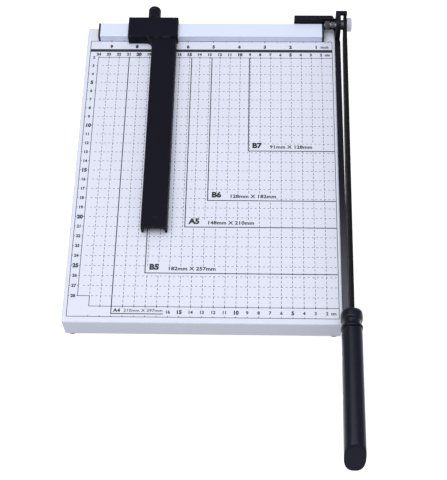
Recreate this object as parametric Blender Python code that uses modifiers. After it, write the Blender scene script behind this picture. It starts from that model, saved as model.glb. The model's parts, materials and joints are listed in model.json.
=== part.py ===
"""Guillotine paper cutter: a pressed steel base with a fixed knife, a hinged blade and a sliding gauge.

While modelling, X = 0 is the cutting face of the knife, Y = 0 the front of the fence and Z = 0 the
top of the base. The user stands at -Y. The whole object hangs on one empty, which puts the middle of
its footprint at the world's origin. Every length is in metres.
"""

import math

import bmesh
import bpy
import numpy as np
from mathutils import Matrix, Vector

# Clearances that every fit uses
SEAT_GAP = 0.0003
CUT_OVERRUN = 0.002
MERGE_DISTANCE = 0.00005

# How finely round things are divided, and the angles past which an edge is sharp or is rounded
SHARP_ANGLE = math.radians(35)
ROUNDED_ANGLE = math.radians(50)
ROUND_STEPS = 28
SMALL_STEPS = 16
HEXAGON_SIDES = 6
CORNER_STEPS = 5
PAN_RIM_SHARE = 1 / 3

# Base: one pressed sheet with four skirts and a lip turned in under them
TRAY_WIDTH = 0.247
TRAY_DEPTH = 0.3222
SKIRT_HEIGHT = 0.026
SHEET = 0.001
LIP_WIDTH = 0.014
TRAY_BEND = 0.0016

# Rubber feet, pushed into the lip at the corners
FOOT_RADIUS = 0.0058
FOOT_HEIGHT = 0.003
FOOT_EDGE = 0.001
FOOT_STEM_RADIUS = 0.002
FOOT_HOLE_RADIUS = 0.0024
FOOT_BARB_RADIUS = 0.0034
FOOT_BARB_HEIGHT = 0.0018
FOOT_INSET = 0.0064

# Fixed knife and the screws that hold it from inside the skirt
KNIFE_THICKNESS = 0.005
KNIFE_HEIGHT = 0.022
KNIFE_NOSE = 0.006
KNIFE_CHAMFER = 0.0006
KNIFE_SCREWS = 4
KNIFE_SCREW_DROP = 0.012
KNIFE_SCREW_END_INSET = 0.024
KNIFE_SCREW_RADIUS = 0.0025
KNIFE_SCREW_BITE = 0.0038
KNIFE_SCREW_HEAD_RADIUS = 0.0045
KNIFE_SCREW_HEAD_HEIGHT = 0.003

# Fence: a hollow bar across the back, with an end cap in each end
FENCE_DEPTH = 0.0162
FENCE_HEIGHT = 0.008
FENCE_WALL = 0.0014
FENCE_EDGE = 0.0007
FENCE_LEFT_INSET = 0.0117
FENCE_RIGHT_INSET = 0.0112
CAP_PLATE = 0.0017
CAP_PLUG = 0.006
FENCE_SCREWS = 3
FENCE_SCREW_END_INSET = 0.022
FENCE_SCREW_RADIUS = 0.002
FENCE_SCREW_HEAD_RADIUS = 0.0038
FENCE_SCREW_HEAD_HEIGHT = 0.0024
FENCE_SCREW_REACH = 0.0018

# Hinge bracket: a bent plate with a leg behind the base and an ear beside it
BRACKET_PLATE = 0.0044
BRACKET_LENGTH = 0.041
BRACKET_LEG_TOP = 0.015
BRACKET_DEPTH = 0.022
BRACKET_BEND = 0.0055
BRACKET_INNER_BEND = 0.0008
BRACKET_EAR_LAND = 0.0095
BRACKET_CORNER = 0.003
BRACKET_BOLT_DROP = 0.012
BRACKET_BOLT_INSETS = (0.011, 0.030)
BRACKET_BOLT_RADIUS = 0.003
BRACKET_BOLT_FLATS = 0.010
BRACKET_BOLT_HEAD = 0.004
BRACKET_NUT_HEIGHT = 0.005
BRACKET_BOLT_REST = 0.0015
BRACKET_RELIEF_WIDTH = 0.0028
BRACKET_RELIEF_FLOOR = 0.0010
BRACKET_RELIEF_DEPTH = 0.0045
STOP_LENGTH = 0.0042
STOP_THICKNESS = 0.0026

# Hinge line and what is threaded on it
PIVOT_BACK = 0.0118
PIVOT_RISE = 0.012
PIVOT_SHOULDER_RADIUS = 0.0035
PIVOT_THREAD_RADIUS = 0.0020
PIVOT_HEAD_FLATS = 0.013
PIVOT_HEAD_HEIGHT = 0.0047
PIVOT_THREAD_REST = 0.0003
SPACER_RADIUS = 0.0050
SPRING_WIRE_RADIUS = 0.0005
SPRING_MEAN_RADIUS = 0.0029
SPRING_PITCH = 0.00152
SPRING_CURLS = 3
SPRING_POINTS_PER_CURL = 10
PIVOT_WASHER_RADIUS = 0.0040
PIVOT_WASHER_HEIGHT = 0.0008
PIVOT_NUT_FLATS = 0.007
PIVOT_NUT_HEIGHT = 0.0036

# Hinged blade: a flat bar with a curved, ground cutting edge and a tang for the handle
BLADE_THICKNESS = 0.003
BLADE_STANDOFF = 0.0023
BLADE_RUNNING_GAP = 0.0003
BLADE_TOP = 0.0075
BLADE_TAIL = 0.0087
BLADE_TAIL_RADIUS = 0.009
BLADE_TAIL_CORNER = 0.003
EDGE_START = 0.016
EDGE_START_DROP = 0.0145
EDGE_BELLY = 0.012
EDGE_BEVEL = 0.0055
EDGE_LAND = 0.0002
EDGE_FADE = 0.020
EDGE_OVERSHOOT = 0.002
SHOULDER_LENGTH = 0.0075
TANG_LENGTH = 0.075
TANG_HEIGHT = 0.015
TAIL_STATIONS = 8
HEEL_STATIONS = 6
EDGE_STATIONS = 18
SHOULDER_STATIONS = 6

# Handle: a collar that straddles the blade, and a grip over the tang
HANDLE_TOP_LIFT = 0.0062
HANDLE_SHIFT = 0.0008
SECTION_POWER = 2.6
GRIP_HEIGHT = 0.0235
GRIP_FRONT_WIDTH = 0.0185
GRIP_BACK_WIDTH = 0.0178
GRIP_LENGTH = 0.1123
GRIP_SLANT = 0.015
GRIP_RIM = 0.0016
GRIP_SHOULDER = 0.0022
COLLAR_WIDTH = 0.019
COLLAR_HEIGHT = 0.0245
COLLAR_LENGTH = 0.0170
COLLAR_OVERLAP = 0.0067
COLLAR_ROUND = 0.0042
COLLAR_GROOVE = 0.0009
NOTCH_LENGTH = 0.004
NOTCH_DEPTH = 0.0022
HANDLE_SIDES = 32
RIVET_RADIUS = 0.002
RIVET_HEAD_RADIUS = 0.0034
RIVET_HEAD_HEIGHT = 0.0018
RIVET_RECESS_RADIUS = 0.0038
RIVET_SINK = 0.0004
RIVET_SHARES = (1 / 3, 4 / 5)

# Gauge: one moulding that hooks over the fence and lies on the base
GAUGE_WIDTH = 0.0494
GAUGE_FRONT_WALL = 0.0032
GAUGE_BACK_WALL = 0.0036
GAUGE_TOP_WALL = 0.0040
GAUGE_BACK_DROP = 0.008
GAUGE_LIFT = 0.0005
GAUGE_EDGE = 0.0006
GAUGE_PLACE_SHARE = 0.1724
GAUGE_REACH = 0.2165
GAUGE_ARM_WIDTH = 0.024
GAUGE_ARM_TOP = 0.0109
GAUGE_ARM_WALL = 0.0023
GAUGE_ARM_PLATE = 0.0025
GAUGE_ARM_INNER_ROUND = 0.003
GAUGE_ARM_INSET = 0.0014
GAUGE_FILLET = 0.0075
GAUGE_DIMPLE_RADIUS = 0.012
GAUGE_DIMPLE_DEPTH = 0.0004
GAUGE_DIMPLE_INSET = 0.0085

# Clamp in the gauge's back wall: pad, insert, screw and knob on one line
CLAMP_RISE = 0.005
CLAMP_BORE_RADIUS = 0.0043
CLAMP_PAD_RADIUS = 0.0038
CLAMP_PAD_THICKNESS = 0.0011
CLAMP_SCREW_RADIUS = 0.0025
CLAMP_INSERT_LENGTH = 0.0016
KNOB_RADIUS = 0.00645
KNOB_LENGTH = 0.0168
KNOB_DOME = 0.0062
KNOB_SKIRT_LENGTH = 0.0024
KNOB_WAIST = 0.0005
KNOB_FLUTES = 12
KNOB_FLUTE_DEPTH = 0.00035
KNOB_POINTS_PER_FLUTE = 4
KNOB_BORE_END = 0.004
KNOB_RINGS = 7

# Places that follow from the sizes above
TRAY_RIGHT = -(KNIFE_THICKNESS + SEAT_GAP)
TRAY_LEFT = TRAY_RIGHT - TRAY_WIDTH
TRAY_BACK = FENCE_DEPTH + SEAT_GAP
TRAY_FRONT = TRAY_BACK - TRAY_DEPTH
FENCE_LEFT = TRAY_LEFT + FENCE_LEFT_INSET
FENCE_RIGHT = TRAY_RIGHT - FENCE_RIGHT_INSET
FENCE_TOP = SEAT_GAP + FENCE_HEIGHT
EAR_LEFT = -KNIFE_THICKNESS
EAR_RIGHT = EAR_LEFT + BRACKET_PLATE
LEG_FRONT = TRAY_BACK + SEAT_GAP
LEG_BACK = LEG_FRONT + BRACKET_PLATE
EAR_TOP = PIVOT_RISE + BLADE_TOP + SEAT_GAP + STOP_THICKNESS
EAR_FRONT = PIVOT_BACK - BRACKET_EAR_LAND
PIVOT = Vector((0, PIVOT_BACK, PIVOT_RISE))
TOE_REACH = PIVOT_BACK - TRAY_FRONT
TOE_IN = math.asin((BLADE_STANDOFF - BLADE_RUNNING_GAP) / TOE_REACH)
BLADE_OUTER = BLADE_STANDOFF + BLADE_THICKNESS
TANG_START = -(TOE_REACH + EDGE_OVERSHOOT + SHOULDER_LENGTH)
TANG_END = TANG_START - TANG_LENGTH
HANDLE_MIDDLE_X = BLADE_STANDOFF + BLADE_THICKNESS / 2 - HANDLE_SHIFT
HANDLE_MIDDLE_Z = BLADE_TOP + HANDLE_TOP_LIFT - GRIP_HEIGHT / 2
COLLAR_BACK = -(TOE_REACH - COLLAR_OVERLAP)
COLLAR_FRONT = COLLAR_BACK - COLLAR_LENGTH
GRIP_BACK = COLLAR_FRONT - SEAT_GAP
GRIP_FRONT = GRIP_BACK - GRIP_LENGTH
GAUGE_FRONT = -(SEAT_GAP + GAUGE_FRONT_WALL)
GAUGE_TOP = FENCE_TOP + SEAT_GAP + GAUGE_TOP_WALL
GAUGE_BACK_INNER = TRAY_BACK + SEAT_GAP
GAUGE_BACK = GAUGE_BACK_INNER + GAUGE_BACK_WALL
GAUGE_ROOM = FENCE_RIGHT - FENCE_LEFT - GAUGE_WIDTH
GAUGE_LEFT = FENCE_LEFT + GAUGE_ROOM * GAUGE_PLACE_SHARE
GAUGE_RIGHT = GAUGE_LEFT + GAUGE_WIDTH
GAUGE_ARM_RIGHT = GAUGE_RIGHT - GAUGE_ARM_INSET
GAUGE_ARM_LEFT = GAUGE_ARM_RIGHT - GAUGE_ARM_WIDTH
CLAMP = Vector(((GAUGE_LEFT + GAUGE_RIGHT) / 2, GAUGE_BACK_INNER, CLAMP_RISE))
PAD_FRONT = FENCE_DEPTH + SEAT_GAP
PAD_BACK = PAD_FRONT + CLAMP_PAD_THICKNESS
KNOB_FRONT = GAUGE_BACK + SEAT_GAP
KNOB_BACK = KNOB_FRONT + KNOB_LENGTH
GROUND = -(SKIRT_HEIGHT + FOOT_HEIGHT)

# Finishes: linear colour, roughness, metallic
FINISHES = {
    "white_enamel": ((0.76, 0.77, 0.84), 0.42, 0.0),
    "fence_enamel": ((0.74, 0.79, 0.88), 0.38, 0.0),
    "black_steel": ((0.016, 0.016, 0.020), 0.42, 0.3),
    "zinc_steel": ((0.50, 0.51, 0.56), 0.34, 1.0),
    "black_oxide": ((0.075, 0.075, 0.085), 0.40, 1.0),
    "spring_steel": ((0.24, 0.24, 0.26), 0.38, 1.0),
    "black_plastic": ((0.014, 0.014, 0.019), 0.46, 0.0),
    "handle_plastic": ((0.016, 0.016, 0.024), 0.40, 0.0),
    "cap_plastic": ((0.022, 0.023, 0.035), 0.50, 0.0),
    "rubber": ((0.020, 0.020, 0.020), 0.80, 0.0),
    "brass": ((0.62, 0.44, 0.16), 0.34, 1.0),
    "nylon": ((0.70, 0.68, 0.62), 0.50, 0.0),
}


def clear_scene():
    for obj in list(bpy.data.objects):
        bpy.data.objects.remove(obj, do_unlink=True)


def new_collection(name):
    collection = bpy.data.collections.new(name)
    bpy.context.scene.collection.children.link(collection)
    return collection


def new_finish(name):
    colour, roughness, metallic = FINISHES[name]
    material = bpy.data.materials.new(name)
    material.use_nodes = True
    shader = material.node_tree.nodes["Principled BSDF"]
    shader.inputs["Base Color"].default_value = (*colour, 1)
    shader.inputs["Roughness"].default_value = roughness
    shader.inputs["Metallic"].default_value = metallic
    material.diffuse_color = (*colour, 1)
    return material


clear_scene()
PARTS = new_collection("guillotine_paper_cutter")
CUTTERS = new_collection("cutters")
MATERIALS = {name: new_finish(name) for name in FINISHES}


def new_frame(name, place, parent=None):
    """An empty that carries a group of pieces, at a place in its parent's frame."""
    frame = bpy.data.objects.new(name, None)
    frame.location = place
    frame.parent = parent
    frame.empty_display_size = KNIFE_HEIGHT
    PARTS.objects.link(frame)
    return frame


def object_from(shape, name):
    """A mesh object from a bmesh, which is freed."""
    bmesh.ops.recalc_face_normals(shape, faces=shape.faces)
    mesh = bpy.data.meshes.new(name)
    shape.to_mesh(mesh)
    shape.free()
    return bpy.data.objects.new(name, mesh)


def piece(obj, frame, finish, smooth=False):
    """Puts a finished piece in the object's collection, on a frame, with its own finish."""
    PARTS.objects.link(obj)
    obj.parent = frame
    obj.data.materials.clear()
    obj.data.materials.append(MATERIALS[finish])
    if smooth:
        obj.data.shade_smooth()
        obj.data.set_sharp_from_angle(angle=SHARP_ANGLE)
    return obj


def boolean(obj, other, operation):
    """Joins, cuts or crops a placed piece with a helper that shares its frame."""
    CUTTERS.objects.link(other)
    other.parent = obj.parent
    other.hide_render = True
    other.display_type = "WIRE"
    modifier = obj.modifiers.new(other.name, "BOOLEAN")
    modifier.object = other
    modifier.operation = operation
    modifier.solver = "EXACT"


def cut(obj, other):
    boolean(obj, other, "DIFFERENCE")


def join(obj, other):
    boolean(obj, other, "UNION")


def soften(obj, width, segments=2):
    modifier = obj.modifiers.new("soft_edges", "BEVEL")
    modifier.width = width
    modifier.segments = segments
    modifier.limit_method = "ANGLE"
    modifier.angle_limit = ROUNDED_ANGLE


def box(name, low, high):
    """A box between two corners, with its origin at its middle."""
    low, high = Vector(low), Vector(high)
    shape = bmesh.new()
    bmesh.ops.create_cube(shape, size=1)
    bmesh.ops.scale(shape, vec=high - low, verts=shape.verts)
    obj = object_from(shape, name)
    obj.location = (low + high) / 2
    return obj


def rod(name, radius, start, end, sides=SMALL_STEPS):
    """A straight bar with this many sides between two points."""
    start, end = Vector(start), Vector(end)
    shape = bmesh.new()
    bmesh.ops.create_cone(
        shape,
        cap_ends=True,
        segments=sides,
        radius1=radius,
        radius2=radius,
        depth=(end - start).length,
    )
    obj = object_from(shape, name)
    obj.location = (start + end) / 2
    obj.rotation_euler = (end - start).to_track_quat("Z", "Y").to_euler()
    return obj


def turned(name, profile, start, direction, steps=ROUND_STEPS, ring=False):
    """A turned piece. The profile's (radius, height) points run down its outer side."""
    mesh = bpy.data.meshes.new(name)
    edges = [(i, i + 1) for i in range(len(profile) - 1)]
    if ring:
        edges.append((len(profile) - 1, 0))
    mesh.from_pydata([(radius, 0, height) for radius, height in profile], edges, [])
    obj = bpy.data.objects.new(name, mesh)
    screw = obj.modifiers.new("turn", "SCREW")
    screw.steps = screw.render_steps = steps
    screw.use_merge_vertices = True
    screw.merge_threshold = MERGE_DISTANCE
    screw.use_smooth_shade = True
    obj.location = start
    obj.rotation_euler = Vector(direction).to_track_quat("Z", "Y").to_euler()
    return obj


def washer(name, outer, inner, height, start, direction):
    """A flat ring from its start point along a direction."""
    profile = [(outer, height), (outer, 0), (inner, 0), (inner, height)]
    return turned(name, profile, start, direction, ring=True)


def rounded(corners):
    """An outline whose (x, y, radius) corners become arcs. A corner of radius zero stays sharp."""
    outline = []
    count = len(corners)
    for i, (x, y, radius) in enumerate(corners):
        here = Vector((x, y))
        if not radius:
            outline.append(here)
            continue
        back = (Vector(corners[i - 1][:2]) - here).normalized()
        ahead = (Vector(corners[(i + 1) % count][:2]) - here).normalized()
        half = back.angle(ahead) / 2
        middle = here + (back + ahead).normalized() * (radius / math.sin(half))
        first = here + back * (radius / math.tan(half)) - middle
        last = here + ahead * (radius / math.tan(half)) - middle
        sweep = first.angle_signed(last)
        for step in range(CORNER_STEPS + 1):
            turn = Matrix.Rotation(-sweep * step / CORNER_STEPS, 2)
            outline.append(middle + turn @ first)
    return outline


PLANES = {
    "X": Matrix(((0, 0, 1), (1, 0, 0), (0, 1, 0))),
    "Y": Matrix(((1, 0, 0), (0, 0, -1), (0, 1, 0))),
    "Z": Matrix.Identity(3),
}


def plate(name, outline, axis, low, high):
    """A flat outline made thick along an axis. Across X it is drawn in (Y, Z), across Y in (X, Z)."""
    curve = bpy.data.curves.new(name, "CURVE")
    curve.dimensions = "2D"
    curve.fill_mode = "BOTH"
    curve.extrude = (high - low) / 2
    spline = curve.splines.new("POLY")
    spline.points.add(len(outline) - 1)
    for point, (x, y) in zip(spline.points, outline):
        point.co = (x, y, 0, 1)
    spline.use_cyclic_u = True
    drawn = bpy.data.objects.new(name, curve)
    obj = mesh_from(drawn, name)
    turn = PLANES[axis]
    obj.location = turn @ Vector((0, 0, (low + high) / 2))
    if axis == "Y":
        obj.location = -obj.location
    obj.rotation_euler = turn.to_euler()
    return obj


def mesh_from(drawn, name):
    """A welded mesh object in place of a curve object."""
    CUTTERS.objects.link(drawn)
    bpy.context.view_layer.update()
    graph = bpy.context.evaluated_depsgraph_get()
    mesh = bpy.data.meshes.new_from_object(drawn.evaluated_get(graph))
    bpy.data.objects.remove(drawn, do_unlink=True)
    shape = bmesh.new()
    shape.from_mesh(mesh)
    bpy.data.meshes.remove(mesh)
    bmesh.ops.remove_doubles(shape, verts=shape.verts, dist=MERGE_DISTANCE / 2)
    return object_from(shape, name)


def loft(name, rings):
    """A closed skin through rings that have the same number of points each."""
    shape = bmesh.new()
    rows = [[shape.verts.new(point) for point in ring] for ring in rings]
    for row, after in zip(rows, rows[1:]):
        for i in range(len(row)):
            shape.faces.new((row[i - 1], row[i], after[i], after[i - 1]))
    shape.faces.new(rows[0])
    shape.faces.new(rows[-1])
    return object_from(shape, name)


def hexagon_radius(flats):
    return flats / math.sqrt(3)


def hexagon(name, flats, start, end):
    """A six-sided bar between two points, with a flat upwards."""
    bar = rod(name, hexagon_radius(flats), start, end, sides=HEXAGON_SIDES)
    bar.data.transform(Matrix.Rotation(math.pi / HEXAGON_SIDES, 4, "Z"))
    return bar


def bolt(name, frame, head_flats, head_height, start, direction, shank):
    """A hexagon bolt. The head ends at start, and shank lists (radius, length) steps along direction."""
    start, direction = Vector(start), Vector(direction)
    corner = hexagon_radius(head_flats)
    head = hexagon(name, head_flats, start - direction * head_height, start)
    obj = piece(head, frame, "zinc_steel")
    crown = turned(
        name + "_crown",
        [
            (0, head_height),
            (head_flats / 2, head_height),
            (corner, head_height - (corner - head_flats / 2)),
            (corner, 0),
            (0, 0),
        ],
        start,
        -direction,
    )
    boolean(obj, crown, "INTERSECT")
    place = start
    for count, (radius, length) in enumerate(shank):
        after = place + direction * length
        join(obj, rod(f"{name}_shank_{count}", radius, place - direction * SEAT_GAP, after))
        place = after
    return obj


def nut(name, frame, flats, height, bore, start, direction, finish="zinc_steel"):
    start, direction = Vector(start), Vector(direction)
    end = start + direction * height
    obj = piece(hexagon(name, flats, start, end), frame, finish)
    over = direction * CUT_OVERRUN
    cut(obj, rod(name + "_bore", bore, start - over, end + over))
    return obj


def pan_screw(name, frame, head_radius, head_height, shank_radius, length, start, direction):
    """A pan-head screw whose head starts at a point, with the shank running on from it."""
    rim = head_height * PAN_RIM_SHARE
    profile = [
        (0, head_height + length),
        (shank_radius, head_height + length),
        (shank_radius, head_height),
        (head_radius, head_height),
        (head_radius, rim),
        (head_radius - rim, 0),
        (0, 0),
    ]
    screw = turned(name, profile, start, direction, steps=SMALL_STEPS)
    return piece(screw, frame, "zinc_steel")


def spread(first, last, count):
    """Evenly spaced places from first to last."""
    return [first + (last - first) * i / (count - 1) for i in range(count)]


def base_tray(frame):
    """The pressed base: an open box turned over, its lip folded in, and its holes."""
    shape = bmesh.new()
    bmesh.ops.create_cube(shape, size=1)
    bmesh.ops.scale(shape, vec=(TRAY_WIDTH, TRAY_DEPTH, SKIRT_HEIGHT), verts=shape.verts)
    floor = [face for face in shape.faces if face.normal.z < 0]
    bmesh.ops.inset_region(shape, faces=floor, thickness=LIP_WIDTH)
    bmesh.ops.delete(shape, geom=floor, context="FACES")
    tray = object_from(shape, "base_tray")
    middle = ((TRAY_LEFT + TRAY_RIGHT) / 2, (TRAY_FRONT + TRAY_BACK) / 2)
    tray.location = (*middle, -SKIRT_HEIGHT / 2)
    piece(tray, frame, "white_enamel")
    soften(tray, TRAY_BEND, segments=3)
    wall = tray.modifiers.new("sheet", "SOLIDIFY")
    wall.thickness = SHEET
    wall.offset = -1
    wall.use_even_offset = True
    for count, (x, y) in enumerate(foot_places()):
        low = (x, y, -SKIRT_HEIGHT - CUT_OVERRUN)
        high = (x, y, -SKIRT_HEIGHT + SHEET + CUT_OVERRUN)
        cut(tray, rod(f"foot_hole_{count}", FOOT_HOLE_RADIUS, low, high))
    for count, y in enumerate(knife_screw_places()):
        low = (TRAY_RIGHT - SHEET - CUT_OVERRUN, y, -KNIFE_SCREW_DROP)
        high = (TRAY_RIGHT + CUT_OVERRUN, y, -KNIFE_SCREW_DROP)
        cut(tray, rod(f"knife_screw_hole_{count}", KNIFE_SCREW_RADIUS + SEAT_GAP, low, high))
    for count, x in enumerate(fence_screw_places()):
        low = (x, FENCE_DEPTH / 2, -SHEET - CUT_OVERRUN)
        high = (x, FENCE_DEPTH / 2, CUT_OVERRUN)
        cut(tray, rod(f"fence_screw_hole_{count}", FENCE_SCREW_RADIUS + SEAT_GAP, low, high))
    for count, x in enumerate(bracket_bolt_places()):
        low = (x, TRAY_BACK - SHEET - CUT_OVERRUN, -BRACKET_BOLT_DROP)
        high = (x, TRAY_BACK + CUT_OVERRUN, -BRACKET_BOLT_DROP)
        cut(tray, rod(f"bracket_hole_{count}", BRACKET_BOLT_RADIUS + SEAT_GAP, low, high))


def foot_places():
    xs = (TRAY_LEFT + FOOT_INSET, TRAY_RIGHT - FOOT_INSET)
    ys = (TRAY_FRONT + FOOT_INSET, TRAY_BACK - FOOT_INSET)
    return [(x, y) for y in ys for x in xs]


def knife_screw_places():
    front = TRAY_FRONT + KNIFE_SCREW_END_INSET
    return spread(front, EAR_FRONT - KNIFE_SCREW_END_INSET, KNIFE_SCREWS)


def fence_screw_places():
    left = FENCE_LEFT + FENCE_SCREW_END_INSET
    return spread(left, FENCE_RIGHT - FENCE_SCREW_END_INSET, FENCE_SCREWS)


def bracket_bolt_places():
    return [EAR_LEFT - inset for inset in BRACKET_BOLT_INSETS]


def feet(frame):
    """Four rubber feet, each with a stem through the lip and a barb that holds it."""
    names = ("foot_front_left", "foot_front_right", "foot_back_left", "foot_back_right")
    barb = FOOT_HEIGHT + SHEET + SEAT_GAP
    profile = [
        (0, barb + SEAT_GAP + FOOT_BARB_HEIGHT),
        (FOOT_STEM_RADIUS, barb + SEAT_GAP + FOOT_BARB_HEIGHT),
        (FOOT_BARB_RADIUS, barb + SEAT_GAP),
        (FOOT_STEM_RADIUS, barb),
        (FOOT_STEM_RADIUS, FOOT_HEIGHT - SEAT_GAP),
        (FOOT_RADIUS, FOOT_HEIGHT - SEAT_GAP),
        (FOOT_RADIUS, FOOT_EDGE),
        (FOOT_RADIUS - FOOT_EDGE, 0),
        (0, 0),
    ]
    for name, (x, y) in zip(names, foot_places()):
        foot = turned(name, profile, (x, y, GROUND), (0, 0, 1), steps=SMALL_STEPS)
        piece(foot, frame, "rubber")


def fixed_knife(frame):
    """The lower knife: a square bar whose top outer edge cuts, round at its lower front corner."""
    back = EAR_FRONT - SEAT_GAP
    outline = rounded(
        [
            (TRAY_FRONT, 0, 0),
            (TRAY_FRONT, -KNIFE_HEIGHT, KNIFE_NOSE),
            (back, -KNIFE_HEIGHT, KNIFE_CHAMFER),
            (back, 0, 0),
        ]
    )
    knife = piece(plate("fixed_knife", outline, "X", -KNIFE_THICKNESS, 0), frame, "black_steel")
    for count, y in enumerate(knife_screw_places()):
        low = (-KNIFE_THICKNESS - CUT_OVERRUN, y, -KNIFE_SCREW_DROP)
        high = (-KNIFE_THICKNESS + KNIFE_SCREW_BITE, y, -KNIFE_SCREW_DROP)
        hole = rod(f"knife_tapped_hole_{count}", KNIFE_SCREW_RADIUS + SEAT_GAP, low, high)
        cut(knife, hole)
        head = TRAY_RIGHT - SHEET - SEAT_GAP - KNIFE_SCREW_HEAD_HEIGHT
        reach = -KNIFE_THICKNESS + KNIFE_SCREW_BITE - SEAT_GAP - head
        pan_screw(
            f"knife_screw_{count + 1}",
            frame,
            KNIFE_SCREW_HEAD_RADIUS,
            KNIFE_SCREW_HEAD_HEIGHT,
            KNIFE_SCREW_RADIUS,
            reach - KNIFE_SCREW_HEAD_HEIGHT,
            (head, y, -KNIFE_SCREW_DROP),
            (1, 0, 0),
        )


def fence_section(inset):
    """The fence's section in (Y, Z), drawn in from its outside by inset."""
    edge = FENCE_EDGE if not inset else 0
    low, high = SEAT_GAP + inset, FENCE_TOP - inset
    front, back = inset, FENCE_DEPTH - inset
    return rounded([(front, low, 0), (back, low, 0), (back, high, edge), (front, high, edge)])


def fence(frame):
    """The hollow fence bar, its two end caps and the screws that hold it from below."""
    left, right = FENCE_LEFT + CAP_PLATE + SEAT_GAP, FENCE_RIGHT - CAP_PLATE - SEAT_GAP
    bar = plate("fence_bar", fence_section(0), "X", left, right)
    piece(bar, frame, "fence_enamel")
    bore = plate("fence_bore", fence_section(FENCE_WALL), "X", left - CUT_OVERRUN, right + CUT_OVERRUN)
    cut(bar, bore)
    for name, outer, side in (("left", FENCE_LEFT, 1), ("right", FENCE_RIGHT, -1)):
        inner = outer + side * CAP_PLATE
        cap = plate(f"fence_cap_{name}", fence_section(0), "X", min(outer, inner), max(outer, inner))
        piece(cap, frame, "cap_plastic")
        ends = sorted((inner - side * SEAT_GAP, inner + side * CAP_PLUG))
        plug = plate(f"cap_plug_{name}", fence_section(FENCE_WALL + SEAT_GAP), "X", *ends)
        join(cap, plug)
    for count, x in enumerate(fence_screw_places()):
        low = (x, FENCE_DEPTH / 2, SEAT_GAP - CUT_OVERRUN)
        high = (x, FENCE_DEPTH / 2, SEAT_GAP + FENCE_WALL + SEAT_GAP)
        hole = rod(f"fence_tapped_hole_{count}", FENCE_SCREW_RADIUS + SEAT_GAP, low, high)
        cut(bar, hole)
        head = -(SHEET + SEAT_GAP + FENCE_SCREW_HEAD_HEIGHT)
        pan_screw(
            f"fence_screw_{count + 1}",
            frame,
            FENCE_SCREW_HEAD_RADIUS,
            FENCE_SCREW_HEAD_HEIGHT,
            FENCE_SCREW_RADIUS,
            SHEET + SEAT_GAP + SEAT_GAP + FENCE_WALL + FENCE_SCREW_REACH,
            (x, FENCE_DEPTH / 2, head),
            (0, 0, 1),
        )


def pivot_bracket(frame):
    """A plate bent to an L, cropped to a low leg and a tall ear, with the blade's stop on top."""
    leg_end = EAR_LEFT - BRACKET_LENGTH
    plan = rounded(
        [
            (leg_end, LEG_FRONT, 0),
            (EAR_LEFT, LEG_FRONT, BRACKET_INNER_BEND),
            (EAR_LEFT, EAR_FRONT, 0),
            (EAR_RIGHT, EAR_FRONT, 0),
            (EAR_RIGHT, LEG_BACK, BRACKET_BEND),
            (leg_end, LEG_BACK, 0),
        ]
    )
    bracket = plate("pivot_bracket", plan, "Z", -BRACKET_DEPTH, EAR_TOP)
    piece(bracket, frame, "black_steel")
    side = rounded(
        [
            (EAR_FRONT, -BRACKET_DEPTH, BRACKET_CORNER),
            (LEG_BACK + CUT_OVERRUN, -BRACKET_DEPTH, 0),
            (LEG_BACK + CUT_OVERRUN, EAR_TOP, 0),
            (EAR_FRONT, EAR_TOP, BRACKET_EAR_LAND),
        ]
    )
    crop = plate("ear_side", side, "X", leg_end - CUT_OVERRUN, EAR_RIGHT + CUT_OVERRUN)
    boolean(bracket, crop, "INTERSECT")
    relief_right = EAR_LEFT - SEAT_GAP
    relief_floor = BRACKET_LEG_TOP - BRACKET_RELIEF_DEPTH
    above_leg = [
        (leg_end - CUT_OVERRUN, BRACKET_LEG_TOP),
        (relief_right - BRACKET_RELIEF_WIDTH, BRACKET_LEG_TOP),
        (relief_right - BRACKET_RELIEF_FLOOR, relief_floor),
        (relief_right, relief_floor),
        (relief_right, EAR_TOP + CUT_OVERRUN),
        (leg_end - CUT_OVERRUN, EAR_TOP + CUT_OVERRUN),
    ]
    ends = (EAR_FRONT - CUT_OVERRUN, LEG_BACK + CUT_OVERRUN)
    cut(bracket, plate("leg_top", above_leg, "Y", *ends))
    stop_low = (EAR_LEFT, LEG_BACK - STOP_LENGTH, EAR_TOP - STOP_THICKNESS)
    stop_high = (BLADE_OUTER + SEAT_GAP, LEG_BACK, EAR_TOP)
    join(bracket, box("blade_stop", stop_low, stop_high))
    over = Vector((CUT_OVERRUN, 0, 0))
    hole_radius = PIVOT_SHOULDER_RADIUS + SEAT_GAP
    ends = (PIVOT + Vector((EAR_LEFT, 0, 0)) - over, PIVOT + Vector((EAR_RIGHT, 0, 0)) + over)
    cut(bracket, rod("pivot_hole", hole_radius, *ends, sides=ROUND_STEPS))
    for count, x in enumerate(bracket_bolt_places()):
        front = (x, LEG_FRONT - CUT_OVERRUN, -BRACKET_BOLT_DROP)
        back = (x, LEG_BACK + CUT_OVERRUN, -BRACKET_BOLT_DROP)
        cut(bracket, rod(f"leg_hole_{count}", BRACKET_BOLT_RADIUS + SEAT_GAP, front, back))
        nut_face = TRAY_BACK - SHEET - SEAT_GAP
        tip = nut_face - BRACKET_NUT_HEIGHT - BRACKET_BOLT_REST
        bolt(
            f"bracket_bolt_{count + 1}",
            frame,
            BRACKET_BOLT_FLATS,
            BRACKET_BOLT_HEAD,
            (x, LEG_BACK + SEAT_GAP, -BRACKET_BOLT_DROP),
            (0, -1, 0),
            [(BRACKET_BOLT_RADIUS, LEG_BACK + SEAT_GAP - tip)],
        )
        nut(
            f"bracket_nut_{count + 1}",
            frame,
            BRACKET_BOLT_FLATS,
            BRACKET_NUT_HEIGHT,
            BRACKET_BOLT_RADIUS + SEAT_GAP,
            (x, nut_face, -BRACKET_BOLT_DROP),
            (0, -1, 0),
        )


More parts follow.
